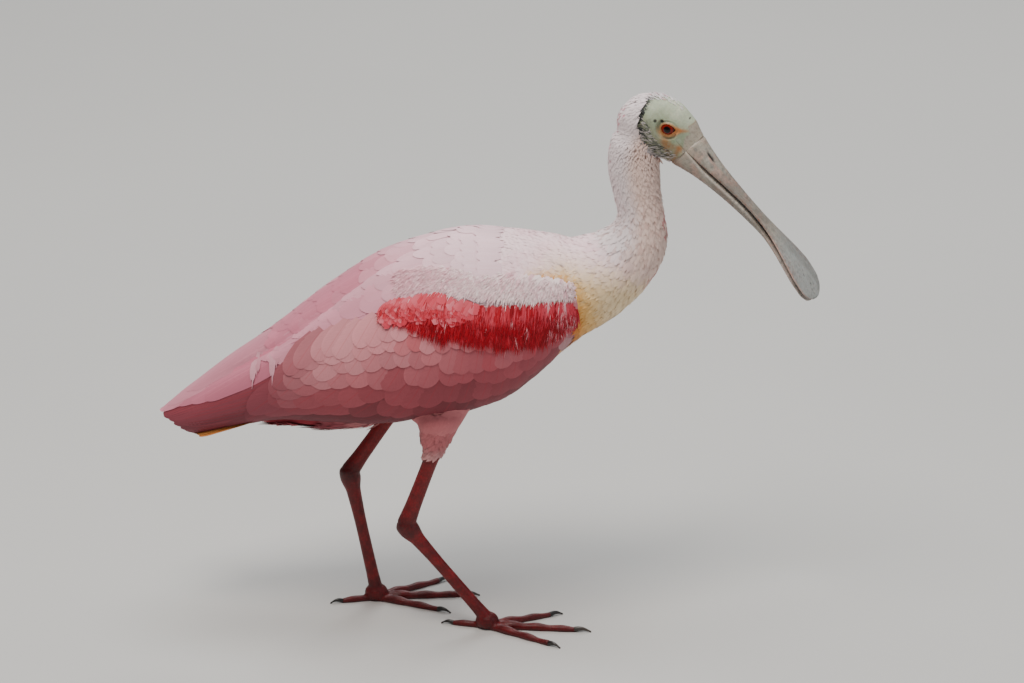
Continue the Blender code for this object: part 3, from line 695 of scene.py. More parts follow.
# the top of each thigh is tucked under the folded wing
tucked = (
    smooth(0.184, 0.197, places[:, 2]) * smooth(0.236, 0.216, places[:, 2])
    * smooth(-0.055, -0.040, places[:, 0])
)
tucked *= smooth(0.085, 0.070, places[:, 0]) * (np.abs(places[:, 1]) > THIGH_INSIDE)
places[:, 1] -= np.sign(places[:, 1]) * 0.42 * tucked * (np.abs(places[:, 1]) - THIGH_INSIDE)
# the fold where the skull meets the neck is filled and drawn smooth, as the feathers there hide it
ahead, left, up = to_head(places)
ease = (
    0.6 * smooth(0.019, 0.009, np.hypot(ahead + 0.044, up + 0.026))
    * smooth(-0.001, -0.004, from_line(BAND, ahead, up))
)
edges = np.empty(2 * len(skin.data.edges), np.int32)
skin.data.edges.foreach_get("vertices", edges)
edges = edges.reshape(-1, 2)
edges = edges[(ease[edges] > 0).any(1)]
count = np.maximum(np.bincount(edges.ravel(), minlength=len(places)), 1)
one, other = edges.T
for _ in range(60):
    total = np.column_stack([gathered(one, other, k) + gathered(other, one, k) for k in range(3)])
    places += ease[:, None] * (total / count[:, None] - places)
put_points(skin, places)
places = points_of(skin)
share, away, facing = neck_place(places)
ahead, left, up = to_head(places)
top, bottom, half = curve_through(HEAD, np.clip(ahead, HEAD[0][0], HEAD[-1][0])).T
tall = (top - bottom) / 2
in_skull = np.hypot(left / half, (up - (top + bottom) / 2) / tall) < 1.22
on_face = in_skull & (ahead > -0.0556) & (ahead < 0.0040)
on_leg = np.zeros(len(places), bool)
for side in SIDES:
    for line in leg_lines[side]:
        for row in line:
            on_leg |= np.linalg.norm(places - row[:3], axis=1) < row[3:5].max() * 1.4
on_leg |= places[:, 2] < 0.018
hue = np.where(on_face[:, None], face_colour(places), plumage_colour(places))
hue = np.where(on_leg[:, None], leg_colour(places), hue)


def tint_points(thing, colours):
    """Stores a colour for each corner of a mesh, for its material to read."""
    layer = thing.data.color_attributes.new("marking", "FLOAT_COLOR", "POINT")
    layer.data.foreach_set("color", np.column_stack([colours, np.ones(len(colours))]).ravel())


tint_points(skin, hue)


def add_node(tree, kind, settings=None, **links):
    """Adds a node. Settings are its properties or inputs, by name; links join its inputs to sockets."""
    node = tree.nodes.new(kind)
    for key, value in (settings or {}).items():
        if isinstance(key, str) and hasattr(node, key):
            setattr(node, key, value)
        else:
            node.inputs[key].default_value = value
    for key, source in links.items():
        by_number = key[0] == "i" and key[1:].isdigit()
        tree.links.new(source, node.inputs[int(key[1:]) if by_number else key.replace("_", " ")])
    return node


def new_material(name, **surface):
    """An empty material with its shader. Values are put straight on the shader's sockets."""
    made = bpy.data.materials.new(name)
    made.use_nodes = True
    shader = made.node_tree.nodes["Principled BSDF"]
    for key, value in surface.items():
        shader.inputs[key.replace("_", " ")].default_value = value
    return made, made.node_tree, shader


def stored(tree, name="marking", kind="Color"):
    """Reads a value kept for each corner of the mesh."""
    return add_node(tree, "ShaderNodeAttribute", {"attribute_name": name}).outputs[kind]


def place_in(tree):
    """The place of each shaded point, in metres."""
    return add_node(tree, "ShaderNodeTexCoord").outputs["Object"]


def noise(tree, place, scale, detail, **more):
    """A soft noise from 0 to 1."""
    return add_node(
        tree, "ShaderNodeTexNoise", {"Scale": scale, "Detail": detail, **more}, Vector=place
    ).outputs["Fac"]


def spread(tree, value, low, high, start=0.3, end=0.7):
    """Stretches the values from start to end over low to high, and holds them there."""
    limits = {"From Min": start, "From Max": end, "To Min": low, "To Max": high}
    return add_node(tree, "ShaderNodeMapRange", limits, Value=value).outputs["Result"]


def reckon(tree, operation, first, second):
    """Adds or multiplies two values."""
    return add_node(tree, "ShaderNodeMath", {"operation": operation}, i0=first, i1=second).outputs["Value"]


def scaled(tree, vector, by):
    """Multiplies a colour or a vector by a value."""
    return add_node(
        tree, "ShaderNodeVectorMath", {"operation": "SCALE"}, Vector=vector, Scale=by
    ).outputs["Vector"]


def finish(tree, shader, colour, height, distance, strength):
    """Gives a shader its colour and raises its surface by a pattern, up to a distance in metres."""
    relief = add_node(tree, "ShaderNodeBump", {"Distance": distance, "Strength": strength}, Height=height)
    tree.links.new(relief.outputs["Normal"], shader.inputs["Normal"])
    tree.links.new(colour, shader.inputs["Base Color"])


def speckled(tree, colour, size, low, high, seed=0.0, detail=3.0):
    """Multiplies a colour by a soft noise between two shades, at a real size in metres."""
    fleck = noise(tree, place_in(tree), 1 / size, detail, noise_dimensions="4D", W=seed)
    return scaled(tree, colour, spread(tree, fleck, low, high))


# down and skin between the feathers: dull, no shine
covered, tree, shader = new_material("skin_under_feathers", Roughness=0.9)
soft = speckled(tree, stored(tree), 0.004, 0.84, 0.98, 1.0)
finish(tree, shader, soft, noise(tree, place_in(tree), 900.0, 3.0), 0.0006, 0.7)

# bare face: thin leathery skin, fine wrinkles about 0.6 mm apart and small pores, a soft satin
bare, tree, shader = new_material(
    "bare_face_skin", Roughness=0.48, Subsurface_Weight=0.08, Subsurface_Scale=0.002
)
place = place_in(tree)
pores = add_node(tree, "ShaderNodeTexVoronoi", {"Scale": 1100.0}, Vector=place).outputs["Distance"]
wrinkle = noise(tree, place, 520.0, 5.0, Roughness=0.6, Distortion=0.8)
leathery = speckled(tree, stored(tree), 0.0016, 0.86, 1.10, 2.0, 5.0)
finish(tree, shader, leathery, reckon(tree, "ADD", pores, wrinkle), 0.00022, 0.6)

# leg horn: many-sided scales about 2.2 mm across, darker in their seams, with a low shine as if just wetted
scaly, tree, shader = new_material(
    "leg_horn_scales", Roughness=0.45, Coat_Weight=0.10, Coat_Roughness=0.3, Specular_IOR_Level=0.35
)
bent = add_node(
    tree, "ShaderNodeMapping", {"Scale": (1.0, 1.0, 0.8)}, Vector=place_in(tree)
).outputs["Vector"]
scales = {"Scale": 430.0, "Randomness": 0.75}
seams = add_node(tree, "ShaderNodeTexVoronoi", {"feature": "DISTANCE_TO_EDGE", **scales}, Vector=bent)
cells = add_node(tree, "ShaderNodeTexVoronoi", scales, Vector=bent)
plate = spread(tree, seams.outputs["Distance"], 0.70, 1.0, 0.0, 0.16)
each = add_node(tree, "ShaderNodeSeparateColor", None, Color=cells.outputs["Color"])
vary = spread(tree, each.outputs["Red"], 0.88, 1.14, 0.0, 1.0)
shade = scaled(tree, stored(tree), reckon(tree, "MULTIPLY", plate, vary))
finish(tree, shader, shade, plate, 0.0005, 0.8)

skin.data.materials.clear()
for look in (covered, bare, scaly):
    skin.data.materials.append(look)
kind = np.where(on_leg, 2, np.where(on_face & (from_line(BAND, ahead, up) > -0.003), 1, 0))
for face in skin.data.polygons:
    face.material_index = int(kind[list(face.vertices)].max())
shade_smooth(skin)
covered_nodes = ["head", "neck_upper", "neck_middle", "neck_lower", "trunk", "undertail_coverts"]
for side in SIDES:
    covered_nodes += [f"thigh_{side}", f"shank_{side}", f"tarsus_{side}", f"foot_{side}"]
    covered_nodes += [f"toe_{toe}_{side}" for toe in TOES]

# Eyes
# A glass eye set in each socket: a black pupil and a dark red iris with fine spokes and a darker rim, all
# painted under a clear glossy dome.
IRIS_RADIUS = 0.0058


def glass_eye(side_name, side):
    """An eyeball whose poles lie on its line of sight, with its front bulging into the clear dome."""
    mesh = bmesh.new()
    bmesh.ops.create_uvsphere(mesh, u_segments=64, v_segments=48, radius=EYE_RADIUS)
    sight = Vector(HEAD_AXES[1]) * side
    turned = sight.to_track_quat("Z", "Y")
    centre = Vector(in_head(EYE_AHEAD, side * EYE_OUT, EYE_UP))
    for vertex in mesh.verts:
        off = np.hypot(vertex.co.x, vertex.co.y)
        if vertex.co.z > 0:
            vertex.co.z += 0.0006 * (1 - smooth(0.0, 0.0052, off))
        vertex.co = centre + turned @ vertex.co
    eye = make_object(f"eye_glass_{side_name}", mesh)
    shade_smooth(eye)
    return eye, np.array(centre), np.array(sight)


glass, tree, shader = new_material(
    "glass_eye", Roughness=0.09, Specular_IOR_Level=0.22, Coat_Weight=0.25, Coat_Roughness=0.03, Coat_IOR=1.3
)
ramp = add_node(tree, "ShaderNodeValToRGB", None, Fac=stored(tree, "off_axis", "Fac"))
stops = [
    (0.0, "#050404"), (0.45, "#060404"), (0.485, "#380804"), (0.60, "#86170a"), (0.80, "#741208"),
    (0.93, "#380805"), (1.0, "#140606")
]
while len(ramp.color_ramp.elements) < len(stops):
    ramp.color_ramp.elements.new(0.5)
for element, (where, shade) in zip(ramp.color_ramp.elements, stops):
    element.position = where
    element.color = (*paint(shade), 1.0)
spokes = spread(tree, noise(tree, place_in(tree), 1400.0, 3.0), 0.65, 1.35)
tree.links.new(scaled(tree, ramp.outputs["Color"], spokes), shader.inputs["Base Color"])
eyes = {}
for side_name, side in SIDES.items():
    eye, centre, sight = glass_eye(side_name, side)
    away = points_of(eye) - centre
    ahead_of = away @ sight
    off = np.linalg.norm(away - ahead_of[:, None] * sight, axis=1)
    layer = eye.data.attributes.new("off_axis", "FLOAT", "POINT")
    layer.data.foreach_set("value", np.where(ahead_of > 0, np.clip(off / IRIS_RADIUS, 0, 1), 1.0))
    eye.data.materials.append(glass)
    eyes[side_name] = eye

# Bill
# Two long horn sheaths over thin bone, deep and narrow at the face and flattened into a spoon at the end. The
# upper one has a slit nostril and a groove along each side. The rims are thicker and ticked with brown.
BILL_START, BILL_LENGTH = 0.0030, 0.1660
BILL_BOW, BILL_BOW_SHIFT, BILL_GAPE_OPEN, BILL_OPEN_BY = 0.0070, 1.15, 0.0026, 0.5
MOUTH_GAP = 0.0030
# share of the length, half width, height above the mouth line
UPPER_BILL = [
    (0.000, 0.0117, 0.0140),
    (0.016, 0.0124, 0.0143),
    (0.045, 0.0122, 0.0131),
    (0.100, 0.0118, 0.0108),
    (0.210, 0.0103, 0.0070),
    (0.310, 0.0088, 0.0050),
    (0.420, 0.0076, 0.0036),
    (0.500, 0.0080, 0.0031),
    (0.590, 0.0106, 0.0029),
    (0.680, 0.0155, 0.0027),
    (0.770, 0.0212, 0.0025),
    (0.860, 0.0250, 0.0024),
    (0.920, 0.0246, 0.0022),
    (0.965, 0.0196, 0.0020),
    (0.990, 0.0115, 0.0018),
    (1.000, 0.0045, 0.0016),
]
LOWER_BILL = [
    (0.000, 0.0111, 0.0204),
    (0.016, 0.0119, 0.0208),
    (0.060, 0.0116, 0.0185),
    (0.130, 0.0108, 0.0150),
    (0.240, 0.0096, 0.0118),
    (0.380, 0.0078, 0.0092),
    (0.500, 0.0078, 0.0070),
    (0.590, 0.0103, 0.0054),
    (0.680, 0.0150, 0.0043),
    (0.770, 0.0204, 0.0034),
    (0.860, 0.0240, 0.0029),
    (0.920, 0.0234, 0.0026),
    (0.965, 0.0182, 0.0022),
    (0.985, 0.0108, 0.0018),
    (0.992, 0.0045, 0.0016),
]
NOSTRIL_AHEAD, NOSTRIL_LONG, NOSTRIL_SHARE = 0.0205, 0.0048, 0.50


def gape(share):
    """How far the lower half's rim hangs below the upper's, and how much more than its solid's does."""
    wanted = 0.0004 + MOUTH_GAP * smooth(0.0, 0.16, share) * (1 - 0.25 * smooth(0.75, 1.0, share))
    solid = 0.0003 + BILL_GAPE_OPEN * np.minimum(share / BILL_OPEN_BY, 1.0)
    return np.maximum(wanted, solid), np.maximum(wanted - solid, 0)


def nostril(ahead, across, width):
    """The slit of the nostril, as a share from 0 to 1."""
    return np.exp(-(((ahead - NOSTRIL_AHEAD) / NOSTRIL_LONG) ** 4)) * hump(across, NOSTRIL_SHARE, width)


def bill_half(name, table, up):
    """One half of the bill: a vault over a slightly hollow face, with its colours."""
    last = table[-1][0]
    share = np.sort(np.concatenate([np.linspace(0, 1, 150), np.linspace(0.93, 1, 30)[:-1]])) * last
    half, tall = curve_through(table, share).T
    ahead = BILL_START + share * (BILL_LENGTH - BILL_START)
    edge = BILL_BOW * np.sin(pi * share**BILL_BOW_SHIFT)
    if up < 0:
        edge -= gape(share)[0]
        tall = np.maximum(tall - gape(share)[1], 0.0013)
    vault = pi * np.linspace(0, 1, 61)
    inside = np.linspace(-1, 1, 31)[1:-1]
    spoon = smooth(0.50, 0.72, share)[:, None]
    left = half[:, None] * np.cos(vault)
    rise = tall[:, None] * np.sin(vault)
    across = np.abs(np.cos(vault))[None]
    groove = (
        hump(across, 0.66, 0.07) * smooth(0.05, 0.10, share)[:, None] * smooth(0.97, 0.80, share)[:, None]
    )
    rim = hump(across, 0.95, 0.05) * smooth(0.30, 0.60, share)[:, None]
    dish = (1 - across**2) * spoon
    ridges = (
        np.sin(2 * pi * ahead / 0.0042)[:, None] * smooth(0.05, 0.12, share)[:, None]
        * smooth(0.50, 0.34, share)[:, None]
    )
    lift = -0.00045 * groove + 0.00025 * rim - 0.00030 * dish * (up > 0) + 0.00010 * ridges * (1 - across**2)
    if up > 0:
        lift = lift - 0.0016 * nostril(ahead[:, None], across, 0.055)
    lean = np.sin(vault)[None] ** 0.35
    rise = rise + lift * lean
    outer = in_head(ahead[:, None] + 0 * left, left, edge[:, None] + up * rise)
    floor_left = -half[:, None] * inside
    hollow = 0.0006 * (1 - inside**2) * smooth(0.0, 0.1, share)[:, None]
    inner = in_head(ahead[:, None] + 0 * floor_left, floor_left, edge[:, None] + up * hollow)
    mesh = bmesh.new()
    add_rings(mesh, np.concatenate([outer, inner], axis=1))
    thing = make_object(name, mesh)
    shade_smooth(thing, 4)
    return thing


def bill_colour(points, up):
    """The markings of the horn: pinkish grey, paler on the spoon, with brown ticks along the cut edges."""
    ahead, left, high = to_head(points)
    share = np.clip((ahead - BILL_START) / (BILL_LENGTH - BILL_START), 0, 1)
    half, tall = curve_through(UPPER_BILL if up > 0 else LOWER_BILL, np.clip(share, 0, 0.99)).T
    edge = BILL_BOW * np.sin(pi * share**BILL_BOW_SHIFT)
    if up < 0:
        edge = edge - gape(share)[0]
        tall = np.maximum(tall - gape(share)[1], 0.0013)
    across = np.clip(np.abs(left) / half, 0, 1.05)
    from_edge = up * (high - edge)
    horn, pinkish, grey, spoon_shade = paint("#a9a295", "#b59b8d", "#827e75", "#a9aca9")
    colour = mix(horn, pinkish, smooth(-0.3, 0.8, ripple(points, 0.014, 31)) * smooth(0.75, 0.35, share))
    colour = mix(colour, grey, 0.55 * smooth(0.0, 0.9, ripple(points, 0.007, 32)))
    colour = mix(colour, spoon_shade, 0.8 * smooth(0.55, 0.75, share))
    base, shaded = paint("#b0a594", "#6b6058")
    colour = mix(colour, shaded, 0.48 * smooth(0.14, 0.30, share) * smooth(0.66, 0.50, share))
    colour = mix(colour, base, 0.6 * smooth(0.10, 0.02, share))
    dark, brown, tan, black, mouth_shadow = paint("#7d7b76", "#7c4c3e", "#b38f80", "#191615", "#241010")
    crease = (across * np.sign(left) * 0.9 + 0.25) - smooth(0.62, 0.98, share) * 0.5
    if up > 0:
        colour = mix(colour, dark, 0.45 * smooth(0.58, 0.70, share) * smooth(0.05, 0.22, crease))
        ticks = smooth(0.15, 0.7, ripple(points * np.array((1.0, 0.4, 1.0)), 0.0030, 33))
        by_edge = smooth(0.0022, 0.0004, from_edge) * smooth(0.90, 0.80, share)
        colour = mix(colour, brown, (0.25 + 0.55 * ticks) * by_edge * smooth(0.02, 0.08, share))
    else:
        pale_rim = paint("#dcd2c4")
        colour = mix(colour, pale_rim, 0.75 * smooth(0.0026, 0.0008, from_edge) * smooth(0.55, 0.35, share))
        keel = smooth(0.55, 0.85, from_edge / np.maximum(tall, 1e-4)) * smooth(0.65, 0.45, share)
        colour = mix(colour, brown, 0.50 * keel)
    colour = mix(
        colour, tan,
        0.75 * smooth(0.93, 0.99, across) * smooth(0.55, 0.66, share) * smooth(-0.0004, 0.0004, from_edge)
    )
    blots = smooth(0.62, 0.95, ripple(points, 0.0038, 34)) * smooth(0.02, 0.06, share)
    colour = mix(colour, dark, 0.55 * blots)
    smudge = np.hypot((ahead - 0.0075) / 0.0022, (high - 0.0065) / 0.0014)
    colour = mix(colour, dark, 0.7 * smooth(1.4, 0.5, smudge) * (up > 0))
    if up > 0:
        slit = nostril(ahead, across, 0.075)
        colour = mix(colour, black, np.clip(1.4 * slit, 0, 0.97) * (from_edge > 0.002))
        for spot_share, spot_left in ((0.870, 0.0050), (0.925, 0.0020)):
            spot = np.hypot((share - spot_share) * 0.163 / 0.0011, (np.abs(left) - spot_left) / 0.0009)
            colour = mix(colour, black, 0.8 * smooth(1.3, 0.7, spot) * (left < 0))
    # painted shade: the inner faces of both halves are painted near black, because the gape between them lies
    # in shade
    hollow = smooth(0.0001, -0.0001, from_edge - 0.0006 * (1 - across**2) - 0.00004)
    return mix(colour, mouth_shadow, hollow * smooth(0.985, 0.93, across))


horn, tree, shader = new_material(
    "bill_horn_sheath", Roughness=0.42, Coat_Weight=0.12, Coat_Roughness=0.35, Subsurface_Weight=0.05,
    Subsurface_Scale=0.002
)
fine = speckled(tree, stored(tree), 0.0011, 0.80, 1.12, 3.0, 5.0)
mottled = speckled(tree, fine, 0.0045, 0.86, 1.08, 4.0, 3.0)
place = place_in(tree)
grain = noise(tree, place, 700.0, 5.0, Roughness=0.6)
pits = add_node(tree, "ShaderNodeTexVoronoi", {"Scale": 520.0}, Vector=place).outputs["Distance"]
finish(tree, shader, mottled, reckon(tree, "ADD", grain, pits), 0.00022, 0.65)
tree.links.new(spread(tree, grain, 0.34, 0.56), shader.inputs["Roughness"])
bill = {}
for name, table, up in (("upper_bill_sheath", UPPER_BILL, 1.0), ("lower_bill_sheath", LOWER_BILL, -1.0)):
    bill[name] = bill_half(name, table, up)
    tint_points(bill[name], bill_colour(points_of(bill[name]), up))
    bill[name].data.materials.append(horn)

# Claws
# A short blunt claw of black horn on each toe, set into the toe's end.
# It is arched a little and worn pale at its tip.
CLAW_SHARE, CLAW_TAPER, CLAW_ARCH = 0.52, 0.80, 0.0016
claw_look, tree, shader = new_material("black_claw_horn", Roughness=0.36, Coat_Weight=0.2, Coat_Roughness=0.2)
streaked = speckled(tree, stored(tree), 0.0014, 0.7, 1.3, 5.0, 4.0)
finish(tree, shader, streaked, noise(tree, place_in(tree), 900.0, 4.0), 0.0002, 0.5)
claws = {}
for side_name in SIDES:
    mesh = bmesh.new()
    for toe, size in TOES.items():
        ball_floor, facing, radius = toe_way(side_name, toe)
        share = np.linspace(0, 1, 18)
        thick = size["radius"] * CLAW_SHARE * (1 - CLAW_TAPER * share**1.3)
        place_on = ball_floor + facing * (size["length"] - 0.0012 + share * (size["claw"] + 0.0012))[:, None]
        place_on[:, 2] = thick * TOE_SUNK + CLAW_ARCH * np.sin(pi * share)
        add_rings(
            mesh, tube_rings(np.column_stack([place_on, thick * 0.92, thick * 1.05]), 14, facing=facing)
        )
    claw = make_object(f"claws_{side_name}", mesh)
    spots = points_of(claw)
    spots[:, 2] = np.maximum(spots[:, 2], 0.0)
    put_points(claw, spots)
    ball_floor = np.array((*LEGS[side_name]["toes"], 0.0))
    reach = np.linalg.norm(spots[:, :2] - ball_floor[:2], axis=1)
    black_horn, worn = paint("#1c1817", "#4b423b")
    tint_points(claw, mix(black_horn, worn, smooth(0.060, 0.088, reach) * 0.8))
    claw.data.materials.append(claw_look)
    shade_smooth(claw, 4)
    claws[side_name] = claw

# Body feathers
# Short soft feathers cover the neck, breast, back, belly, thighs and the underside of the tail.
# Each grows from the skin, lies back along the body over the next ones, and ends in loose barbs.
# Those of the neck are the shortest.
BARBS, JOINTS = 5, 4


def store(thing, name, kind, values):
    """Keeps one value for each corner of a mesh, under a name."""
    layer = thing.data.attributes.new(name, kind, "POINT")
    key = {"FLOAT_VECTOR": "vector", "FLOAT_COLOR": "color"}.get(kind, "value")
    number = np.int32 if kind == "INT" else np.float32
    layer.data.foreach_set(key, np.ascontiguousarray(values, dtype=number).ravel())


def feather_pattern(name, across, along, rise, faces):
    """A flat pattern of one feather, one long and two wide, that is copied for each root."""
    data = bpy.data.meshes.new(name)
    data.from_pydata(np.column_stack([across, along, np.zeros(len(across))]).tolist(), [], faces)
    thing = bpy.data.objects.new(name, data)
    store(thing, "across", "FLOAT", across)
    store(thing, "along", "FLOAT", along)
    store(thing, "rise", "FLOAT", rise)
    return thing


def strip(start, joints):
    """Faces of a strip whose corners are counted in pairs."""
    return [(a, a + 1, a + 3, a + 2) for a in range(start, start + 2 * joints, 2)]


def grid(columns, rows):
    """Faces of a grid whose corners are counted row by row."""
    index = np.arange((rows + 1) * (columns + 1)).reshape(rows + 1, columns + 1)
    faces = np.stack([index[:-1, :-1], index[:-1, 1:], index[1:, 1:], index[1:, :-1]], -1)
    return faces.reshape(-1, 4).tolist()


def loose_feather(name, dice):
    """A soft feather as narrow bundles of barbs that part towards its end."""
    across, along, rise, faces = [], [], [], []
    for k in range(BARBS):
        place = (k + 0.5) / BARBS * 2 - 1
        reach = (1 - 0.26 * place**2) * dice.uniform(0.84, 1.04)
        lean = place * dice.uniform(0.85, 1.2)
        tilt = dice.uniform(-0.35, 0.35)
        for j in range(JOINTS + 1):
            share = j / JOINTS
            outline = (0.35 + 0.65 * min(share / 0.35, 1.0)) * (1 - 0.25 * max(share - 0.6, 0) / 0.4)
            middle = lean * outline + 0.06 * np.sin(3 * share + k)
            half = 1.35 / BARBS * outline * (1 - smooth(0.60, 1.02, share) * 0.88)
            for edge in (-1, 1):
                across.append(middle + edge * half)
                along.append(share * reach)
                rise.append(-0.55 * middle**2 + 0.25 * tilt * edge + 0.25 * ((k % 2) - 0.5))
        faces += strip(k * (JOINTS + 1) * 2, JOINTS)
    return feather_pattern(name, np.array(across), np.array(along), np.array(rise), faces)


def soft_feather(name, dice, columns, rows, ragged):
    """A small body feather: one soft vane with a frayed end, arched across."""
    share = 1 - (1 - np.linspace(0, 1, rows + 1)) ** 1.3
    across, along = np.meshgrid(np.linspace(-1, 1, columns + 1), share)
    half = (
        (0.45 + 0.55 * smooth(0.0, 0.4, share))
        * np.sqrt(np.maximum(1 - (np.maximum(share - 0.55, 0) / 0.47) ** 2, 0.08))
    )
    reach = 1 + dice.normal(0, ragged, (1, columns + 1)) * share[:, None] ** 3
    ripples = -0.6 * across**2 + dice.normal(0, 0.12, across.shape) * share[:, None]
    spread_out = (across * half[:, None]).ravel()
    return feather_pattern(name, spread_out, (along * reach).ravel(), ripples.ravel(), grid(columns, rows))


def keep_patterns(name, patterns):
    """Puts patterns into a collection that is not shown."""
    store_room = bpy.data.collections.new(name)
    for pattern in patterns:
        store_room.objects.link(pattern)
    return store_room


dice = default_rng(41)
loose_feathers = keep_patterns("loose_feathers", [loose_feather(f"loose_{k}", dice) for k in range(6)])
soft_feathers = keep_patterns(
    "soft_feathers", [soft_feather(f"soft_{k}", dice, 4, 5, 0.10) for k in range(8)]
)
small_feathers = keep_patterns(
    "small_feathers", [soft_feather(f"small_{k}", dice, 3, 3, 0.12) for k in range(8)]
)


def coat_tree():
    """Geometry Nodes that copy a pattern to each root and lay every corner of it along the form below."""
    tree = bpy.data.node_groups.new("lay_feathers", "GeometryNodeTree")
    sides = tree.interface
    sides.new_socket("Roots", in_out="INPUT", socket_type="NodeSocketGeometry")
    sides.new_socket("Form", in_out="INPUT", socket_type="NodeSocketObject")
    sides.new_socket("Patterns", in_out="INPUT", socket_type="NodeSocketCollection")
    sides.new_socket("Feather", in_out="INPUT", socket_type="NodeSocketMaterial")
    sides.new_socket("Patch", in_out="INPUT", socket_type="NodeSocketFloat").default_value = 0.003
    sides.new_socket("Coat", in_out="OUTPUT", socket_type="NodeSocketGeometry")
    given = add_node(tree, "NodeGroupInput").outputs

    def named(name, kind="FLOAT"):
        node = add_node(tree, "GeometryNodeInputNamedAttribute", {"data_type": kind, "Name": name})
        return next(socket for socket in node.outputs if socket.enabled and socket.name == "Attribute")

    roots = add_node(tree, "GeometryNodeMeshToPoints", None, Mesh=given["Roots"])
    patterns = add_node(
        tree, "GeometryNodeCollectionInfo", {"Separate Children": True, "Reset Children": True},
        Collection=given["Patterns"]
    )
    turn = add_node(
        tree,
        "FunctionNodeAxesToRotation",
        {"primary_axis": "Z", "secondary_axis": "Y"},
        Primary_Axis=named("out", "FLOAT_VECTOR"),
        Secondary_Axis=named("lie", "FLOAT_VECTOR"),
    )
    copies = add_node(
        tree,
        "GeometryNodeInstanceOnPoints",
        {"Pick Instance": True},
        Points=roots.outputs["Points"],
        Instance=patterns.outputs["Instances"],
        Instance_Index=named("pattern", "INT"),
        Rotation=turn.outputs["Rotation"],
        Scale=named("size", "FLOAT_VECTOR"),
    )
    real = add_node(
        tree, "GeometryNodeRealizeInstances", None, Geometry=copies.outputs["Instances"]
    ).outputs["Geometry"]
    form = add_node(tree, "GeometryNodeObjectInfo", None, Object=given["Form"]).outputs["Geometry"]
    under = add_node(
        tree, "GeometryNodeProximity", {"target_element": "FACES"}, Geometry=form
    ).outputs["Position"]
    facing = add_node(tree, "GeometryNodeInputNormal").outputs["Normal"]
    outward = add_node(tree, "GeometryNodeSampleNearestSurface", {"data_type": "FLOAT_VECTOR"}, Mesh=form)
    tree.links.new(facing, next(s for s in outward.inputs if s.enabled and s.name == "Value"))
    outward = next(s for s in outward.outputs if s.enabled and s.name == "Value")
    eased = add_node(
        tree, "ShaderNodeMath", {"operation": "POWER", 1: 0.8}, i0=named("along")
    ).outputs["Value"]
    layer = add_node(
        tree, "ShaderNodeMapRange", None, Value=eased, To_Min=named("deep"), To_Max=named("proud")
    )
    bump = reckon(tree, "MULTIPLY", named("rise"), named("puff"))
    raised = scaled(tree, outward, reckon(tree, "ADD", layer.outputs["Result"], bump))
    spot = add_node(tree, "ShaderNodeVectorMath", {"operation": "ADD"}, i0=under, i1=raised)
    laid = add_node(tree, "GeometryNodeSetPosition", None, Geometry=real, Position=spot.outputs["Vector"])
    shifted = add_node(tree, "ShaderNodeMath", {"operation": "MULTIPLY", 1: 0.5}, i0=named("across"))
    centred = add_node(tree, "ShaderNodeMath", {"operation": "SUBTRACT", 1: 0.5}, i0=named("along"))
    on_patch = add_node(
        tree, "ShaderNodeCombineXYZ", None, X=shifted.outputs["Value"], Y=centred.outputs["Value"]
    )
    patch = scaled(tree, on_patch.outputs["Vector"], given["Patch"])
    home = named("root_place", "FLOAT_VECTOR")
    unwrapped = add_node(tree, "ShaderNodeVectorMath", {"operation": "ADD"}, i0=home, i1=patch)
    mapped = add_node(
        tree, "GeometryNodeStoreNamedAttribute",
        {"data_type": "FLOAT2", "domain": "CORNER", "Name": "OFBake"}, Geometry=laid.outputs["Geometry"]
    )
    tree.links.new(
        unwrapped.outputs["Vector"], next(s for s in mapped.inputs if s.enabled and s.name == "Value")
    )
    even = add_node(tree, "GeometryNodeSetShadeSmooth", None, Geometry=mapped.outputs["Geometry"])
    dressed = add_node(
        tree, "GeometryNodeSetMaterial", None, Geometry=even.outputs["Geometry"], Material=given["Feather"]
    )
    made = tree.nodes.new("NodeGroupOutput")
    tree.links.new(dressed.outputs["Geometry"], made.inputs["Coat"])
    return tree


lay_feathers = coat_tree()


def plumage_look(
    name, streaks, root_shade, tip_shade, sheen=0.25, rough=0.72, edge_shade=1.0, vary=(0.90, 1.08),
    shaft=None
):
    """Feather material: the marking, darker at its root, with fine streaks that run along the barbs."""
    made, tree, shader = new_material(
        name, Roughness=rough, Sheen_Weight=sheen, Sheen_Roughness=0.45, Specular_IOR_Level=0.25
    )
    marks = stored(tree)
    along, across, pick = (stored(tree, name, "Fac") for name in ("along", "across", "pick"))
    fade = spread(tree, along, root_shade, tip_shade, 0.05, 0.85)
    out = add_node(tree, "ShaderNodeMath", {"operation": "ABSOLUTE"}, i0=across).outputs["Value"]
    slant = add_node(tree, "ShaderNodeMath", {"operation": "MULTIPLY_ADD", 1: -0.30}, i0=out, i2=along)
    seat = add_node(
        tree, "ShaderNodeCombineXYZ", None, X=across, Y=slant.outputs["Value"], Z=pick
    ).outputs["Vector"]
    stretch = add_node(tree, "ShaderNodeMapping", {"Scale": streaks}, Vector=seat).outputs["Vector"]
    barbs = noise(tree, stretch, 1.0, 3.0, Roughness=0.55)
    shade = reckon(tree, "MULTIPLY", fade, spread(tree, barbs, *vary))
    if edge_shade != 1.0:
        shade = reckon(tree, "MULTIPLY", shade, spread(tree, out, 1.0, edge_shade, 0.72, 0.98))
    if shaft:
        dyed = add_node(tree, "ShaderNodeMix", {"data_type": "RGBA"})
        dyed.inputs[7].default_value = (*paint(shaft), 1.0)
        tree.links.new(spread(tree, out, 0.22, 0.0, 0.015, 0.065), dyed.inputs[0])
        tree.links.new(marks, dyed.inputs[6])
        marks = dyed.outputs[2]
    finish(tree, shader, scaled(tree, marks, shade), barbs, 0.0003, 0.4)
    return made


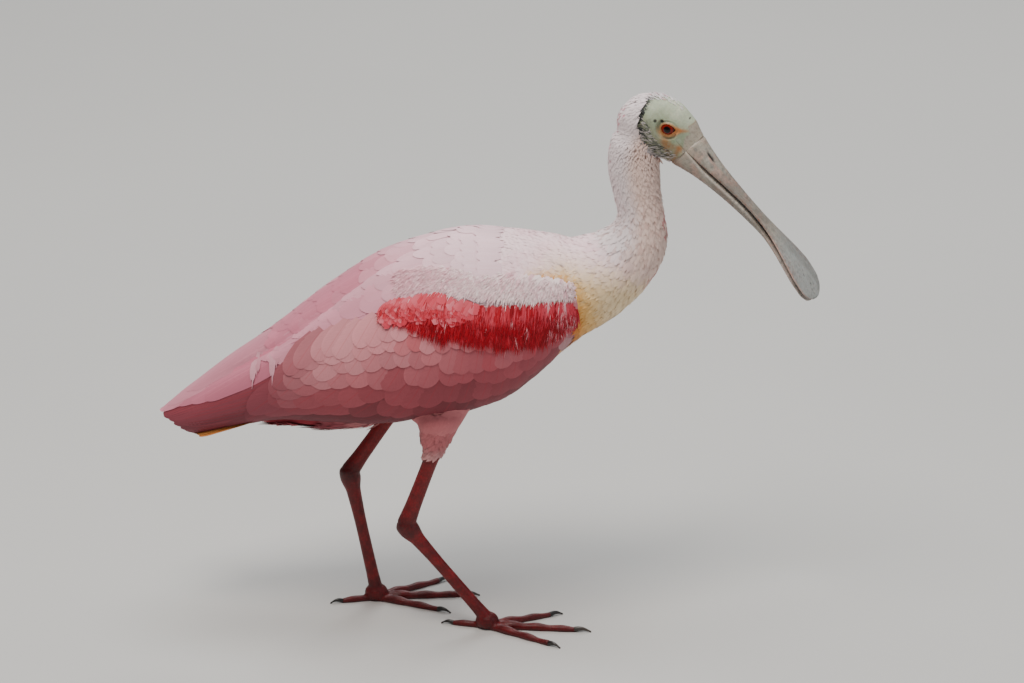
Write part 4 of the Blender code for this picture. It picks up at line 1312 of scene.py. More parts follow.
soft_look = plumage_look("soft_body_feathers", (6.0, 0.9, 60.0), 0.97, 1.02, 0.18, vary=(0.95, 1.04))
NEIGHBOURS = list(product((-1, 0, 1), repeat=3))


def skin_spots(spacing, wanted, seed):
    """Evenly scattered places on a surface, with their outward directions, where a test allows them."""
    dice = default_rng(seed)
    mesh = skin.data
    mesh.calc_loop_triangles()
    corners = np.empty(len(mesh.loop_triangles) * 3, np.int32)
    mesh.loop_triangles.foreach_get("vertices", corners)
    corners = corners.reshape(-1, 3)
    places = points_of(skin)
    facing = np.empty(len(places) * 3)
    mesh.vertices.foreach_get("normal", facing)
    facing = facing.reshape(-1, 3)
    keep = wanted(places[corners].mean(1))
    corners = corners[keep]
    a, b, c = places[corners[:, 0]], places[corners[:, 1]], places[corners[:, 2]]
    area = np.linalg.norm(np.cross(b - a, c - a), axis=1) / 2
    gap = spacing((a + b + c) / 3) if callable(spacing) else np.full(len(a), spacing)
    tries = int((area / gap**2).sum() * 5)
    pick = dice.choice(len(area), tries, p=(area / gap**2) / (area / gap**2).sum())
    u, v = dice.random((2, tries))
    over = u + v > 1
    u[over], v[over] = 1 - u[over], 1 - v[over]
    w = 1 - u - v
    spots = a[pick] * w[:, None] + b[pick] * u[:, None] + c[pick] * v[:, None]
    ways = unit(sum(facing[corners[pick, k]] * part[:, None] for k, part in enumerate((w, u, v))))
    gap = gap[pick]
    cell = gap.max()
    taken, chosen = {}, []
    for k, (spot, room) in enumerate(zip(spots, gap)):
        x, y, z = (spot // cell).astype(int)
        near = [j for dx, dy, dz in NEIGHBOURS for j in taken.get((x + dx, y + dy, z + dz), ())]
        if near and (((spots[near] - spot) ** 2).sum(1) < room * room).any():
            continue
        taken.setdefault((x, y, z), []).append(k)
        chosen.append(k)
    return spots[chosen], ways[chosen]


def body_unwrap(points):
    """Where points of the trunk and neck lie on a map of the skin, slit along the belly."""
    share, away, facing = neck_place(points)
    neck = (share > 0.30) & (points[:, 0] > 0.09)
    turn = np.arctan2(points[:, 1], points[:, 2] - middle_height(points)) / (2 * pi)
    along = np.where(neck, 0.62 + 0.34 * share, 0.02 + 0.62 * (points[:, 0] + 0.24) / 0.40)
    side = neck_line[np.round(share * (len(neck_line) - 1)).astype(int)]
    round_neck = np.arctan2(points[:, 1] - side[:, 1], np.where(facing == 0, 1e-6, -facing) * away) / (2 * pi)
    return np.column_stack([along, 0.5 + 0.94 * np.where(neck, round_neck, turn), np.zeros(len(points))])


def grow_coat(
    name, spots, ways, lie, size, deep, proud, puff, colours, patterns, look, seed, form=None, unwrap=None,
    patch=0.003
):
    """One piece of plumage: a feather at each spot, laid by the Geometry Nodes tree and made a plain mesh."""
    dice = default_rng(seed)
    count = len(spots)
    data = bpy.data.meshes.new(name)
    data.from_pydata(spots.tolist(), [], [])
    roots = bpy.data.objects.new(name, data)
    bpy.context.scene.collection.objects.link(roots)
    lie = unit(lie - ways * (lie * ways).sum(1, keepdims=True))
    store(roots, "out", "FLOAT_VECTOR", ways)
    store(roots, "lie", "FLOAT_VECTOR", lie)
    store(roots, "size", "FLOAT_VECTOR", np.column_stack([*np.broadcast_arrays(*size), np.ones(count)]))
    for key, values in (("deep", deep), ("proud", proud), ("puff", puff), ("pick", dice.random(count))):
        store(roots, key, "FLOAT", np.broadcast_to(values, count))
    store(roots, "pattern", "INT", dice.integers(0, len(patterns.objects), count))
    store(roots, "root_place", "FLOAT_VECTOR", (unwrap or body_unwrap)(spots))
    store(roots, "marking", "FLOAT_COLOR", np.column_stack([colours, np.ones(count)]))
    nodes = roots.modifiers.new("feathers", "NODES")
    nodes.node_group = lay_feathers
    values = {"Form": form or skin, "Patterns": patterns, "Feather": look, "Patch": patch}
    for item in lay_feathers.interface.items_tree:
        if item.in_out == "INPUT" and item.name in values:
            nodes[item.identifier] = values[item.name]
    settle(roots)
    return roots


def neck_part(points):
    """Share along the neck, and whether a point is on it."""
    share, away, facing = neck_place(points)
    return share, (share > 0.02) & (away < 0.055) & (points[:, 0] > 0.085) & (points[:, 2] > 0.262), facing


def coat_lie(points):
    """The way the feathers lie: down the neck, back along the trunk and its sides, down the thighs."""
    share, on_neck, _ = neck_part(points)
    tangent = -unit(np.gradient(neck_line[:, :3], axis=0))
    down_neck = tangent[np.round(share * (len(neck_line) - 1)).astype(int)]
    turn = np.radians(body_turn(points))
    back = np.column_stack([
        -np.ones(len(points)), 0.10 * np.sign(points[:, 1]) * np.sin(turn), -0.42 * np.sin(turn) ** 2
    ])
    blend = smooth(0.10, 0.42, share) * on_neck
    lie = back * (1 - blend)[:, None] + down_neck * blend[:, None]
    thigh = (points[:, 2] < 0.205) & (points[:, 0] > -0.10)
    low = smooth(0.212, 0.196, points[:, 2]) * thigh
    return unit(lie * (1 - low)[:, None] + np.array((-0.42, 0.0, -0.92)) * low[:, None])


def jitter(vectors, amount, seed):
    return vectors + default_rng(seed).normal(scale=amount, size=vectors.shape)


def shade_each(colours, amount, seed):
    """Makes some feathers a little lighter or darker than their neighbours."""
    return np.clip(colours * default_rng(seed).normal(1.0, amount, (len(colours), 1)), 0, 1)


def away_from_face(points):
    """True where the head is feathered: behind the black band."""
    ahead, left, up = to_head(points)
    near_head = (ahead > -0.060) & (np.hypot(left / 0.021, (up + 0.009) / 0.029) < 1.15) & (ahead < 0.01)
    return ~near_head | ((from_line(BAND, ahead, up) < -0.0004) & ((ahead < -0.0185) | (up < -0.0260)))


def on_neck(points):
    share, _, _ = neck_part(points)
    return (share > 0.30) & (points[:, 0] > 0.09) & (points[:, 2] > 0.27) & away_from_face(points)


spots, ways = skin_spots(lambda p: 0.0015 + 0.0012 * smooth(0.62, 0.30, neck_place(p)[0]), on_neck, 51)
share, _, facing = neck_part(spots)
dice = default_rng(52)
ahead, left, up = to_head(spots)
chin = smooth(-0.038, -0.020, ahead) * smooth(-0.006, -0.016, up) * smooth(0.76, 0.90, share)
long = (0.0066 + 0.0058 * smooth(0.85, 0.35, share)) * dice.uniform(0.85, 1.2, len(spots)) * (1 - 0.55 * chin)
wide = long * (0.22 + 0.06 * smooth(0.6, 0.3, share))
ruffled = smooth(0.30, 0.42, share) * smooth(0.82, 0.62, share)
proud = (
    NECK_COAT * 0.80 + 0.0012 * smooth(0.42, 0.30, share)
    + np.abs(dice.normal(0, 0.0005, len(spots))) * (0.12 + 0.8 * ruffled)
)
lifted = 0.0026 * smooth(0.62, 0.78, share) * smooth(0.98, 0.80, share) * smooth(0.0, 0.8, facing)
proud += lifted
colours = plumage_colour(spots)
carmine = hump(share, 0.40, 0.035) + 0.8 * hump(share, 0.56, 0.030)
reddened = dice.random(len(spots)) < 0.45 * carmine * smooth(0.80, 0.95, facing)
colours[reddened] = mix(colours[reddened], paint("#c4505c"), 0.6)
magenta = (dice.random(len(spots)) < 0.22) & (share > 0.80) & (facing < -0.93)
colours[magenta] = mix(colours[magenta], paint("#d0607c"), 0.6)
neck_coat = grow_coat(
    "neck_feathers", spots, ways, jitter(coat_lie(spots), 0.10, 53), (wide, long),
    0.0008 + 0.8 * lifted, proud, 0.0002 + 0.0004 * ruffled, shade_each(colours, 0.018, 54), small_feathers,
    soft_look, 55,
)


def on_trunk(points):
    share, inside, _ = neck_part(points)
    neck = (share > 0.28) & inside
    turn = body_turn(points)
    under_wing = (turn > 74) & (turn < 148) & (points[:, 0] < 0.126)
    under_wing |= (turn < 146) & (points[:, 0] < -0.015)
    under_wing |= (turn < 76) & (points[:, 0] < 0.030)
    low = points[:, 2] < 0.194
    head_too = points[:, 2] > 0.36
    rear = points[:, 0] < -0.185
    return ~neck & ~under_wing & ~low & ~head_too & ~rear


spots, ways = skin_spots(lambda p: 0.0031 - 0.0008 * smooth(0.05, 0.11, p[:, 0]), on_trunk, 61)
dice = default_rng(62)
x, turn = spots[:, 0], body_turn(spots)
long = (
    (0.0180 - 0.0050 * smooth(0.05, 0.12, x) + 0.004 * smooth(0.0, -0.10, x))
    * dice.uniform(0.85, 1.2, len(spots))
)
wide = long * (0.31 + 0.04 * smooth(0.05, -0.05, x))
proud = (
    0.0034 + np.abs(dice.normal(0, 0.00012, len(spots)))
    + 0.0006 * smooth(70, 120, turn) * smooth(0.06, 0.09, x)
)
proud -= 0.0024 * smooth(108, 132, turn) * smooth(0.132, 0.105, x)
body_coat = grow_coat(
    "body_feathers", spots, ways, jitter(coat_lie(spots), 0.09, 63), (wide, long),
    0.0016, proud, 0.0002, shade_each(plumage_colour(spots), 0.014, 64), soft_feathers, soft_look, 65,
)


def on_thighs(points):
    bare = np.zeros(len(points), bool)
    for side in SIDES:
        knee, ankle = LEGS[side]["knee"], LEGS[side]["ankle"]
        low_end = knee + (ankle - knee) * (LEGS[side]["end"] - 0.045)
        bare |= (np.sign(points[:, 1]) == SIDES[side]) & (points[:, 2] < low_end[2])
    return (
        (points[:, 2] < 0.206) & (points[:, 0] > -0.045) & ~bare
        & ~((points[:, 0] < -0.018) & (points[:, 2] > 0.186))
    )


spots, ways = skin_spots(0.0022, on_thighs, 71)
dice = default_rng(72)
long = (0.0080 + 0.0050 * smooth(0.165, 0.195, spots[:, 2])) * dice.uniform(0.8, 1.25, len(spots))
wide = long * 0.26
proud = 0.0022 + np.abs(dice.normal(0, 0.0005, len(spots))) - 0.0022 * smooth(0.180, 0.190, spots[:, 2])
colours = plumage_colour(spots)
thigh_coat = grow_coat(
    "thigh_feathers", spots, ways, jitter(coat_lie(spots), 0.14, 73), (wide, long),
    0.0002, proud, 0.0007, shade_each(colours, 0.05, 74), small_feathers, soft_look, 75,
)


def under_tail(points):
    half = 0.012 + 0.016 * smooth(-0.09, -0.06, points[:, 0])
    off_legs = (points[:, 2] > 0.162) & (np.abs(points[:, 1]) < half)
    return (points[:, 0] < -0.040) & (points[:, 2] < 0.199) & (points[:, 0] > -0.118) & off_legs


spots, ways = skin_spots(0.0042, under_tail, 81)
dice = default_rng(82)
long = 0.024 * dice.uniform(0.85, 1.2, len(spots))
lie = jitter(np.tile((-1.0, 0.0, -0.06), (len(spots), 1)), 0.10, 83)
under_coat = grow_coat(
    "undertail_feathers", spots, ways, lie, (long * 0.20, long),
    0.0003, 0.0026 + np.abs(dice.normal(0, 0.0006, len(spots))), 0.0008,
    shade_each(plumage_colour(spots), 0.10, 84), loose_feathers, soft_look, 85,
)
plumage = {
    neck_coat: ("white_plumage", []),
    body_coat: ("white_plumage", []),
    thigh_coat: ("rose_plumage", []),
    under_coat: ("rose_plumage", []),
}

# Folded wings: the flight feathers
# Each folded wing is a stack of stiff feathers on the body's side. Lowest are the secondaries and primaries,
# long smooth rose vanes that run back and down to the tail, laid on a form a little inside the plumage.
WING_DEPTH = 0.0032


def form_point(x, turn, deeper=WING_DEPTH):
    """Points of the form under the wings, at degrees round from the back's top, positive to the right."""
    x, turn = np.broadcast_arrays(np.asarray(x, float), np.asarray(turn, float))
    flat_x, flat_turn = x.ravel(), turn.ravel()
    from_cleft = flat_turn - cleft(flat_x)
    roll = 0.0018 * hump(from_cleft, 13, 7) * smooth(0.01, -0.04, flat_x) * smooth(-0.150, -0.110, flat_x)
    height, across, up = curve_through(BODY, flat_x).T
    grow = roll - deeper - trench(flat_x, flat_turn)
    across, up = np.maximum(across + grow, 0.0015), np.maximum(up + grow, 0.0015)
    angle = np.radians(flat_turn)
    spot = np.stack([flat_x, -across * np.sin(angle), height + up * np.cos(angle)], -1)
    return spot.reshape(*x.shape, 3)


def form_out(x, turn):
    """The outward direction of that form."""
    by_turn = form_point(x, np.asarray(turn) + 1.0) - form_point(x, np.asarray(turn) - 1.0)
    by_x = form_point(np.asarray(x) + 0.002, turn) - form_point(np.asarray(x) - 0.002, turn)
    out = unit(np.cross(by_turn, by_x))
    middle = np.stack([x, 0 * x, curve_through(BODY, x)[:, 0]], -1)
    return out * np.sign(((form_point(x, turn) - middle) * out).sum(-1, keepdims=True))


mould = bmesh.new()
ring_turn = np.linspace(-180, 180, 145)[:-1]
add_rings(mould, [form_point(np.full(144, x), ring_turn) for x in np.linspace(0.134, -0.2375, 135)])
wing_form = make_object("wing_form", mould)
shade_smooth(wing_form)


def vane(name, dice, columns, rows, outline, ragged=0.02, hollow=0.45, shaft=0.06, crowd=1.7):
    """A stiff feather: two vanes that slope from a raised shaft, a little uneven at the rim."""
    u = np.linspace(-1, 1, columns + 1)
    v = 1 - (1 - np.linspace(0, 1, rows + 1)) ** crowd
    across, along = np.meshgrid(u, v)
    half = outline(v)[:, None]
    reach = 1 + dice.normal(0, ragged) * across * v[:, None] ** 4
    rise = (-hollow * (across * half) ** 2 + shaft * hump(across, 0.0, 0.16)) * half
    spread_out = (across * half).ravel()
    thing = feather_pattern(name, spread_out, (along * reach).ravel(), rise.ravel(), grid(columns, rows))
    thing.data.attributes["across"].data.foreach_set("value", across.ravel().astype(np.float32))
    return thing


def round_end(v):
    return (
        (0.50 + 0.50 * smooth(0.0, 0.45, v))
        * np.sqrt(np.maximum(1 - (np.maximum(v - 0.66, 0) / 0.345) ** 2, 0.02))
    )


def long_end(v):
    tapered = (0.55 + 0.45 * smooth(0.0, 0.25, v)) * (1 - 0.42 * smooth(0.55, 1.0, v))
    return tapered * np.sqrt(np.maximum(1 - (np.maximum(v - 0.88, 0) / 0.123) ** 2, 0.02))


dice = default_rng(91)
long_vanes = keep_patterns("long_vanes", [vane(f"long_{k}", dice, 8, 26, long_end, 0.006) for k in range(3)])
round_vanes = keep_patterns(
    "round_vanes", [vane(f"round_{k}", dice, 6, 8, round_end, 0.016) for k in range(4)]
)
small_vanes = keep_patterns(
    "small_vanes", [vane(f"small_vane_{k}", dice, 6, 8, round_end, 0.03) for k in range(5)]
)
vane_look = plumage_look(
    "rose_wing_vanes", (2.2, 70.0, 40.0), 0.93, 1.02, 0.03, 0.62, 1.05, (0.93, 1.06), "#b8323f"
)


def cell_unwrap(count):
    """Places on a map for a few large feathers, each in the middle of its own square."""
    rows = int(np.ceil(np.sqrt(count)))
    index = np.arange(count)
    squares = np.column_stack([(index % rows + 0.5) / rows, (index // rows + 0.5) / rows, np.zeros(count)])
    return lambda _: squares, 0.86 / rows


def lay_rows(name, roots, tips, wide, deep, proud, colours, patterns, look, seed, puff=0.0012):
    """Feathers from root to tip, given as station and degrees round. Later rows lie over earlier ones."""
    roots, tips = np.array(roots, float), np.array(tips, float)
    start, end = form_point(*roots.T), form_point(*tips.T)
    lie = end - start
    long = np.linalg.norm(lie, axis=1)
    out = form_out(*roots.T) + form_out(*tips.T)
    out = unit(out - lie * (out * lie).sum(1, keepdims=True) / long[:, None] ** 2)
    unwrap, patch = cell_unwrap(len(roots))
    return grow_coat(
        name, start, out, lie, (np.asarray(wide) / 2, long), deep, proud, puff, colours, patterns, look, seed,
        wing_form, unwrap, patch,
    )


def wing_colour_and_shade(x, turn, dice, vary=0.04):
    """Rose of the wing, lighter above and behind; the dusk towards its lower edge is partly painted shade."""
    high, middle, low, rear = paint("#dd959c", "#ab4f59", "#561f28", "#8e444f")
    turn = np.abs(turn) + default_rng(90).normal(0, 4.0, len(turn))
    # painted shade: the rose darkens through middle to a dusky low towards the wing's lower edge, over its
    # own deeper rose there
    colour = mix(high, middle, smooth(64, 110, turn))
    colour = mix(colour, low, 0.85 * smooth(98, 144, turn))
    colour = mix(colour, mix(rear, low, 0.55 * smooth(95, 135, turn)), smooth(-0.06, -0.13, x))
    return np.clip(colour * dice.normal(1.0, vary, (len(colour), 1)), 0, 1)


def both_wings(seed):
    """Each wing in turn: its name, the sign of its degrees round the body, and dice of its own."""
    for side_name, side in SIDES.items():
        yield side_name, -side, default_rng(seed + (side > 0))


def hang(x, turn, long, lean, near):
    """Roots and tips of feathers that hang down the wing's side, leaning back by an angle in radians."""
    girth = curve_through(BODY, x)[:, 1:].mean(1)
    tip_turn = turn + np.degrees(long * np.cos(lean) / girth)
    roots = np.column_stack([x, turn * near])
    return roots, np.column_stack([x - long * np.sin(lean), tip_turn * near])


def on_form(roots, tips):
    """Where feathers start on the form, which way is out there, and which way they lie."""
    start = form_point(*roots.T)
    return start, form_out(*roots.T), form_point(*tips.T) - start


wings = {}
for side_name, near, dice in both_wings(101):
    share = np.linspace(0, 1, 14)
    roots = (
        np.column_stack([-0.095 - 0.015 * share, 138 - 74 * share]) + dice.normal(0, (0.002, 0.8), (14, 2))
    )
    tips = np.column_stack([-0.1985 - 0.021 * share**0.8, 138 - 80 * share])
    tips += dice.normal(0, (0.0010, 0.8), (14, 2))
    first = (
        [(0.112 - 0.014 * k, 120 - 1.2 * k) for k in range(8)]
        + [(-0.0125 * k, 126 - 0.5 * k) for k in range(8)]
    )
    ends = (
        [(0.088 - 0.020 * k, 166 - 2.2 * k) for k in range(8)]
        + [(-0.060 - 0.0155 * k, 152 - 1.5 * k) for k in range(8)]
    )
    roots = np.vstack([first, roots]) * (1, near)
    tips = np.vstack([ends, tips]) * (1, near)
    order = np.linspace(0, 1, 30)
    colours = wing_colour_and_shade(roots[:, 0] * 0.4 + tips[:, 0] * 0.6, roots[:, 1] * 0.4 + tips[:, 1] * 0.6, dice)
    wide = np.concatenate([np.full(16, 0.025), np.full(14, 0.021)])
    wings[f"flight_feathers_{side_name}"] = lay_rows(
        f"flight_feathers_{side_name}", roots, tips, wide, 0.0004 * order, 0.0007 + 0.0009 * order, colours,
        long_vanes, vane_look, 103, puff=0.0006,
    )

# Wing coverts
# Rounded rose feathers in rows like roof tiles hang over the flight feathers. Each row is shorter than the
# one below it and starts higher, and the rows turn from hanging down at the bend to trailing back behind.
COVERT_ROWS = [
    # degrees round of the roots at three stations, length, width, spacing, lean back at the front and rear
    dict(turn=(116, 108, 92), long=0.050, wide=0.0235, step=0.0130, lean=(16, 62)),
    dict(turn=(106, 96, 78), long=0.044, wide=0.0225, step=0.0125, lean=(12, 58)),
    dict(turn=(97, 87, 67), long=0.036, wide=0.0205, step=0.0120, lean=(9, 54)),
    dict(turn=(89, 78, 58), long=0.030, wide=0.0180, step=0.0105, lean=(6, 50)),
    dict(turn=(82, 70, 53), long=0.024, wide=0.0155, step=0.0095, lean=(4, 46)),
    dict(turn=(76, 62, 46), long=0.024, wide=0.0150, step=0.0100, lean=(4, 42)),
]
for side_name, near, dice in both_wings(111):
    roots, tips, wide, deep, colours = [], [], [], [], []
    for level, row in enumerate(COVERT_ROWS):
        stations = np.arange(0.119, -0.098, -row["step"]) - 0.004 * (level % 2)
        stations = stations + dice.normal(0, 0.0012, len(stations))
        turn = (
            np.interp(stations, (-0.10, 0.02, 0.11), row["turn"][::-1]) + dice.normal(0, 1.3, len(stations))
        )
        lean = np.radians(row["lean"][0] + (row["lean"][1] - row["lean"][0]) * smooth(0.06, -0.08, stations))
        grown = 0.62 + 0.38 * smooth(0.12, 0.06, stations) + 0.30 * smooth(-0.01, -0.07, stations)
        long = row["long"] * grown * dice.uniform(0.92, 1.10, len(stations))
        start, end = hang(stations, turn, long, lean, near)
        roots.append(start)
        tips.append(end)
        broad = 0.80 + 0.20 * smooth(0.11, 0.06, stations) + 0.15 * smooth(0.0, -0.06, stations)
        wide.append(row["wide"] * broad)
        deep.append(np.full(len(stations), level))
        colours.append(wing_colour_and_shade(*(start * 0.5 + end * 0.5).T, dice, 0.035))
    roots, tips, wide, level, colours = (np.concatenate(part) for part in (roots, tips, wide, deep, colours))
    carmine, blush = paint("#c0202f", "#eec3c6")
    reddish = (
        smooth(2.2, 4.2, level) * smooth(-0.055, -0.010, roots[:, 0]) * dice.uniform(0.0, 0.9, len(level))
    )
    colours = mix(colours, carmine, 0.5 * reddish)
    colours = mix(
        colours, blush, 0.5 * smooth(0.104, 0.116, roots[:, 0]) * dice.uniform(0.3, 1.0, len(level))
    )
    wings[f"wing_coverts_{side_name}"] = lay_rows(
        f"covert_feathers_{side_name}", roots, tips, wide, 0.0006 + 0.00035 * level, 0.0014 + 0.00036 * level,
        colours, round_vanes, vane_look, 113, puff=0.0005,
    )

# Carmine shoulder band
# Along the top of each wing runs a drooping fringe of narrow carmine feathers like hair, deepest in the
# middle, with paler pink ones between them and short mottled ones above.


def hair_tuft(name, dice, strands=4, joints=5):
    """A few narrow pointed strands side by side, each bent a little its own way."""
    across, along, rise, faces = [], [], [], []
    for k in range(strands):
        place = (k + 0.5) / strands * 2 - 1
        reach, bend, sway = dice.uniform(0.66, 1.05), dice.normal(0, 0.55), dice.uniform(0, 6.3)
        for j in range(joints + 1):
            share = j / joints
            middle = place * (0.7 + 0.5 * share) + bend * share**2 + 0.10 * np.sin(4 * share + sway)
            half = (
                0.34 * (0.6 + 0.4 * np.sin(pi * min(share * 1.3, 1.0)))
                * (1 - smooth(0.45, 1.03, share) * 0.96)
            )
            for edge in (-1, 1):
                across.append(middle + edge * half)
                along.append(share * reach)
                rise.append(0.4 * edge * dice.choice((-1, 1)) * 0.4 + 0.8 * ((k * 2 + 1) % 3 - 1) * share)
        faces += strip(k * (joints + 1) * 2, joints)
    return feather_pattern(name, np.array(across), np.array(along), np.array(rise), faces)


hair_tufts = keep_patterns("hair_tufts", [hair_tuft(f"hair_{k}", dice) for k in range(7)])
hair_look = plumage_look("carmine_hair_feathers", (5.0, 1.2, 50.0), 0.80, 1.10, 0.02, 0.55)
# station, degrees round of the band's upper edge and of its fringe
BAND_EDGES = [
    (0.121, 84, 116), (0.107, 76, 118), (0.0957, 71, 112), (0.0743, 67, 103), (0.047, 64, 92),
    (0.0247, 59, 87), (0.008, 53, 83), (-0.0247, 50, 66), (-0.040, 49, 57)
]
band_x, band_top, band_low = np.array(BAND_EDGES)[::-1].T
for side_name, near, dice in both_wings(121):
    count = 1350
    x = dice.uniform(-0.036, 0.119, count)
    top, low = np.interp(x, band_x, band_top), np.interp(x, band_x, band_low)
    share = np.sort(dice.uniform(-0.02, 0.62, count))[::-1]
    turn = top + (low - top) * share
    long = (
        dice.uniform(0.014, 0.0215, count) * (0.65 + 0.35 * smooth(-0.03, 0.01, x))
        * (0.7 + 0.3 * smooth(0.115, 0.100, x))
    )
    lean = np.radians(dice.normal(5 + 26 * smooth(0.02, -0.03, x), 7.0, count))
    roots, tips = hang(x, turn, long, lean, near)
    crimson, deep_red, rosy, pale = paint("#bf0f24", "#820816", "#d8505f", "#eaa9b0")
    colours = mix(crimson, deep_red, dice.uniform(0, 1, count) ** 1.5)
    rose_share = (
        0.10 + 0.55 * smooth(0.14, 0.0, share) + 0.40 * smooth(0.090, 0.112, x)
        + 0.45 * smooth(0.005, -0.03, x)
    )
    pick = dice.random(count)
    colours = np.where(
        (pick < rose_share)[:, None], mix(crimson, rosy, dice.uniform(0.35, 1.0, count)), colours
    )
    colours = np.where((pick < 0.015 + 0.14 * smooth(0.085, 0.112, x))[:, None], pale, colours)
    wings[f"carmine_band_{side_name}"] = grow_coat(
        f"carmine_band_{side_name}", *on_form(roots, tips), (dice.uniform(0.0013, 0.0021, count), long),
        0.0028 + 0.0008 * (0.6 - share), 0.0042 + 0.0014 * (0.6 - share), 0.0005, colours, hair_tufts,
        hair_look, 123, wing_form,
    )

# White down of the mantle hangs over the band's upper edge.
for side_name, near, dice in both_wings(124):
    count = 1100
    x = dice.uniform(-0.022, 0.119, count)
    turn = np.interp(x, band_x, band_top) + dice.uniform(-24, -8, count)
    long = dice.uniform(0.009, 0.0145, count) * (0.6 + 0.4 * smooth(0.118, 0.095, x))
    lean = np.radians(dice.normal(50, 12, count) - 22 * smooth(0.03, 0.08, x))
    roots, tips = hang(x, turn, long, lean, near)
    white, pink = paint("#fae6e5", "#e5adb8")
    colours = mix(
        white, pink, np.clip(dice.uniform(0, 0.9, count) ** 2 + 0.65 * smooth(0.045, -0.015, x), 0, 1)
    )
    wings[f"mantle_fringe_{side_name}"] = grow_coat(
        f"mantle_fringe_{side_name}", *on_form(roots, tips), (long * 0.20, long), 0.0006,
        dice.uniform(0.0038, 0.0045, count), 0.0003, colours, hair_tufts, soft_look, 129, wing_form,
    )

# Short rounded feathers, blotched pink and red, cover the roots of the band's upper edge behind its middle.
for side_name, near, dice in both_wings(126):
    count = 230
    x = np.sort(dice.uniform(-0.034, 0.040, count))
    turn = np.interp(x, band_x, band_top) + dice.uniform(-2, 8, count) * smooth(0.044, 0.020, x)
    long = dice.uniform(0.008, 0.0125, count)
    lean = np.radians(dice.normal(30, 9, count))
    roots, tips = hang(x, turn, long, lean, near)
    coral, blush, red = paint("#d34857", "#de7984", "#bd1e2e")
    pick = dice.random(count)[:, None]
    colours = np.where(pick < 0.50, coral, np.where(pick < 0.70, blush, red))
    colours = mix(colours, coral, dice.uniform(0.0, 0.6, count))
    colours = mix(
        colours, blush, 0.55 * smooth(4.0, 0.0, turn - np.interp(x, band_x, band_top)) * dice.random(count)
    )
    wings[f"band_covers_{side_name}"] = lay_rows(
        f"band_covers_{side_name}", roots, tips, dice.uniform(0.0055, 0.0085, count), 0.0034,
        0.0045 + 0.0004 * dice.random(count), colours, small_vanes, vane_look, 128, puff=0.0009,
    )

# Scapulars and tertials
# Pale pink feathers from the shoulder lie over the wing's upper edge, broad and rounded, and end in the long
# tertials, whose tips cross over the tail. The two packs part along the back in a cleft, rosier there partly
# from their own colour and partly from painted shade in the groove.


def pale_colour(x, turn, inner, dice):
    """Very pale pink, rosier towards the tips and at the cleft, partly from painted shade there."""
    white, pink, rose = paint("#efccd4", "#d690a1", "#c26d81")
    colour = mix(white, pink, smooth(0.045, -0.050, x) * (0.60 + 0.40 * smooth(15, 42, np.abs(turn))))
    # rosier by the cleft: partly the feathers' own deeper rose, partly painted shade in the groove between
    # the packs
    colour = mix(colour, rose, np.clip(0.85 * inner + 0.25 * smooth(-0.10, -0.19, x), 0, 0.9))
    return np.clip(colour * dice.normal(1.0, 0.035, (len(colour), 1)), 0, 1)


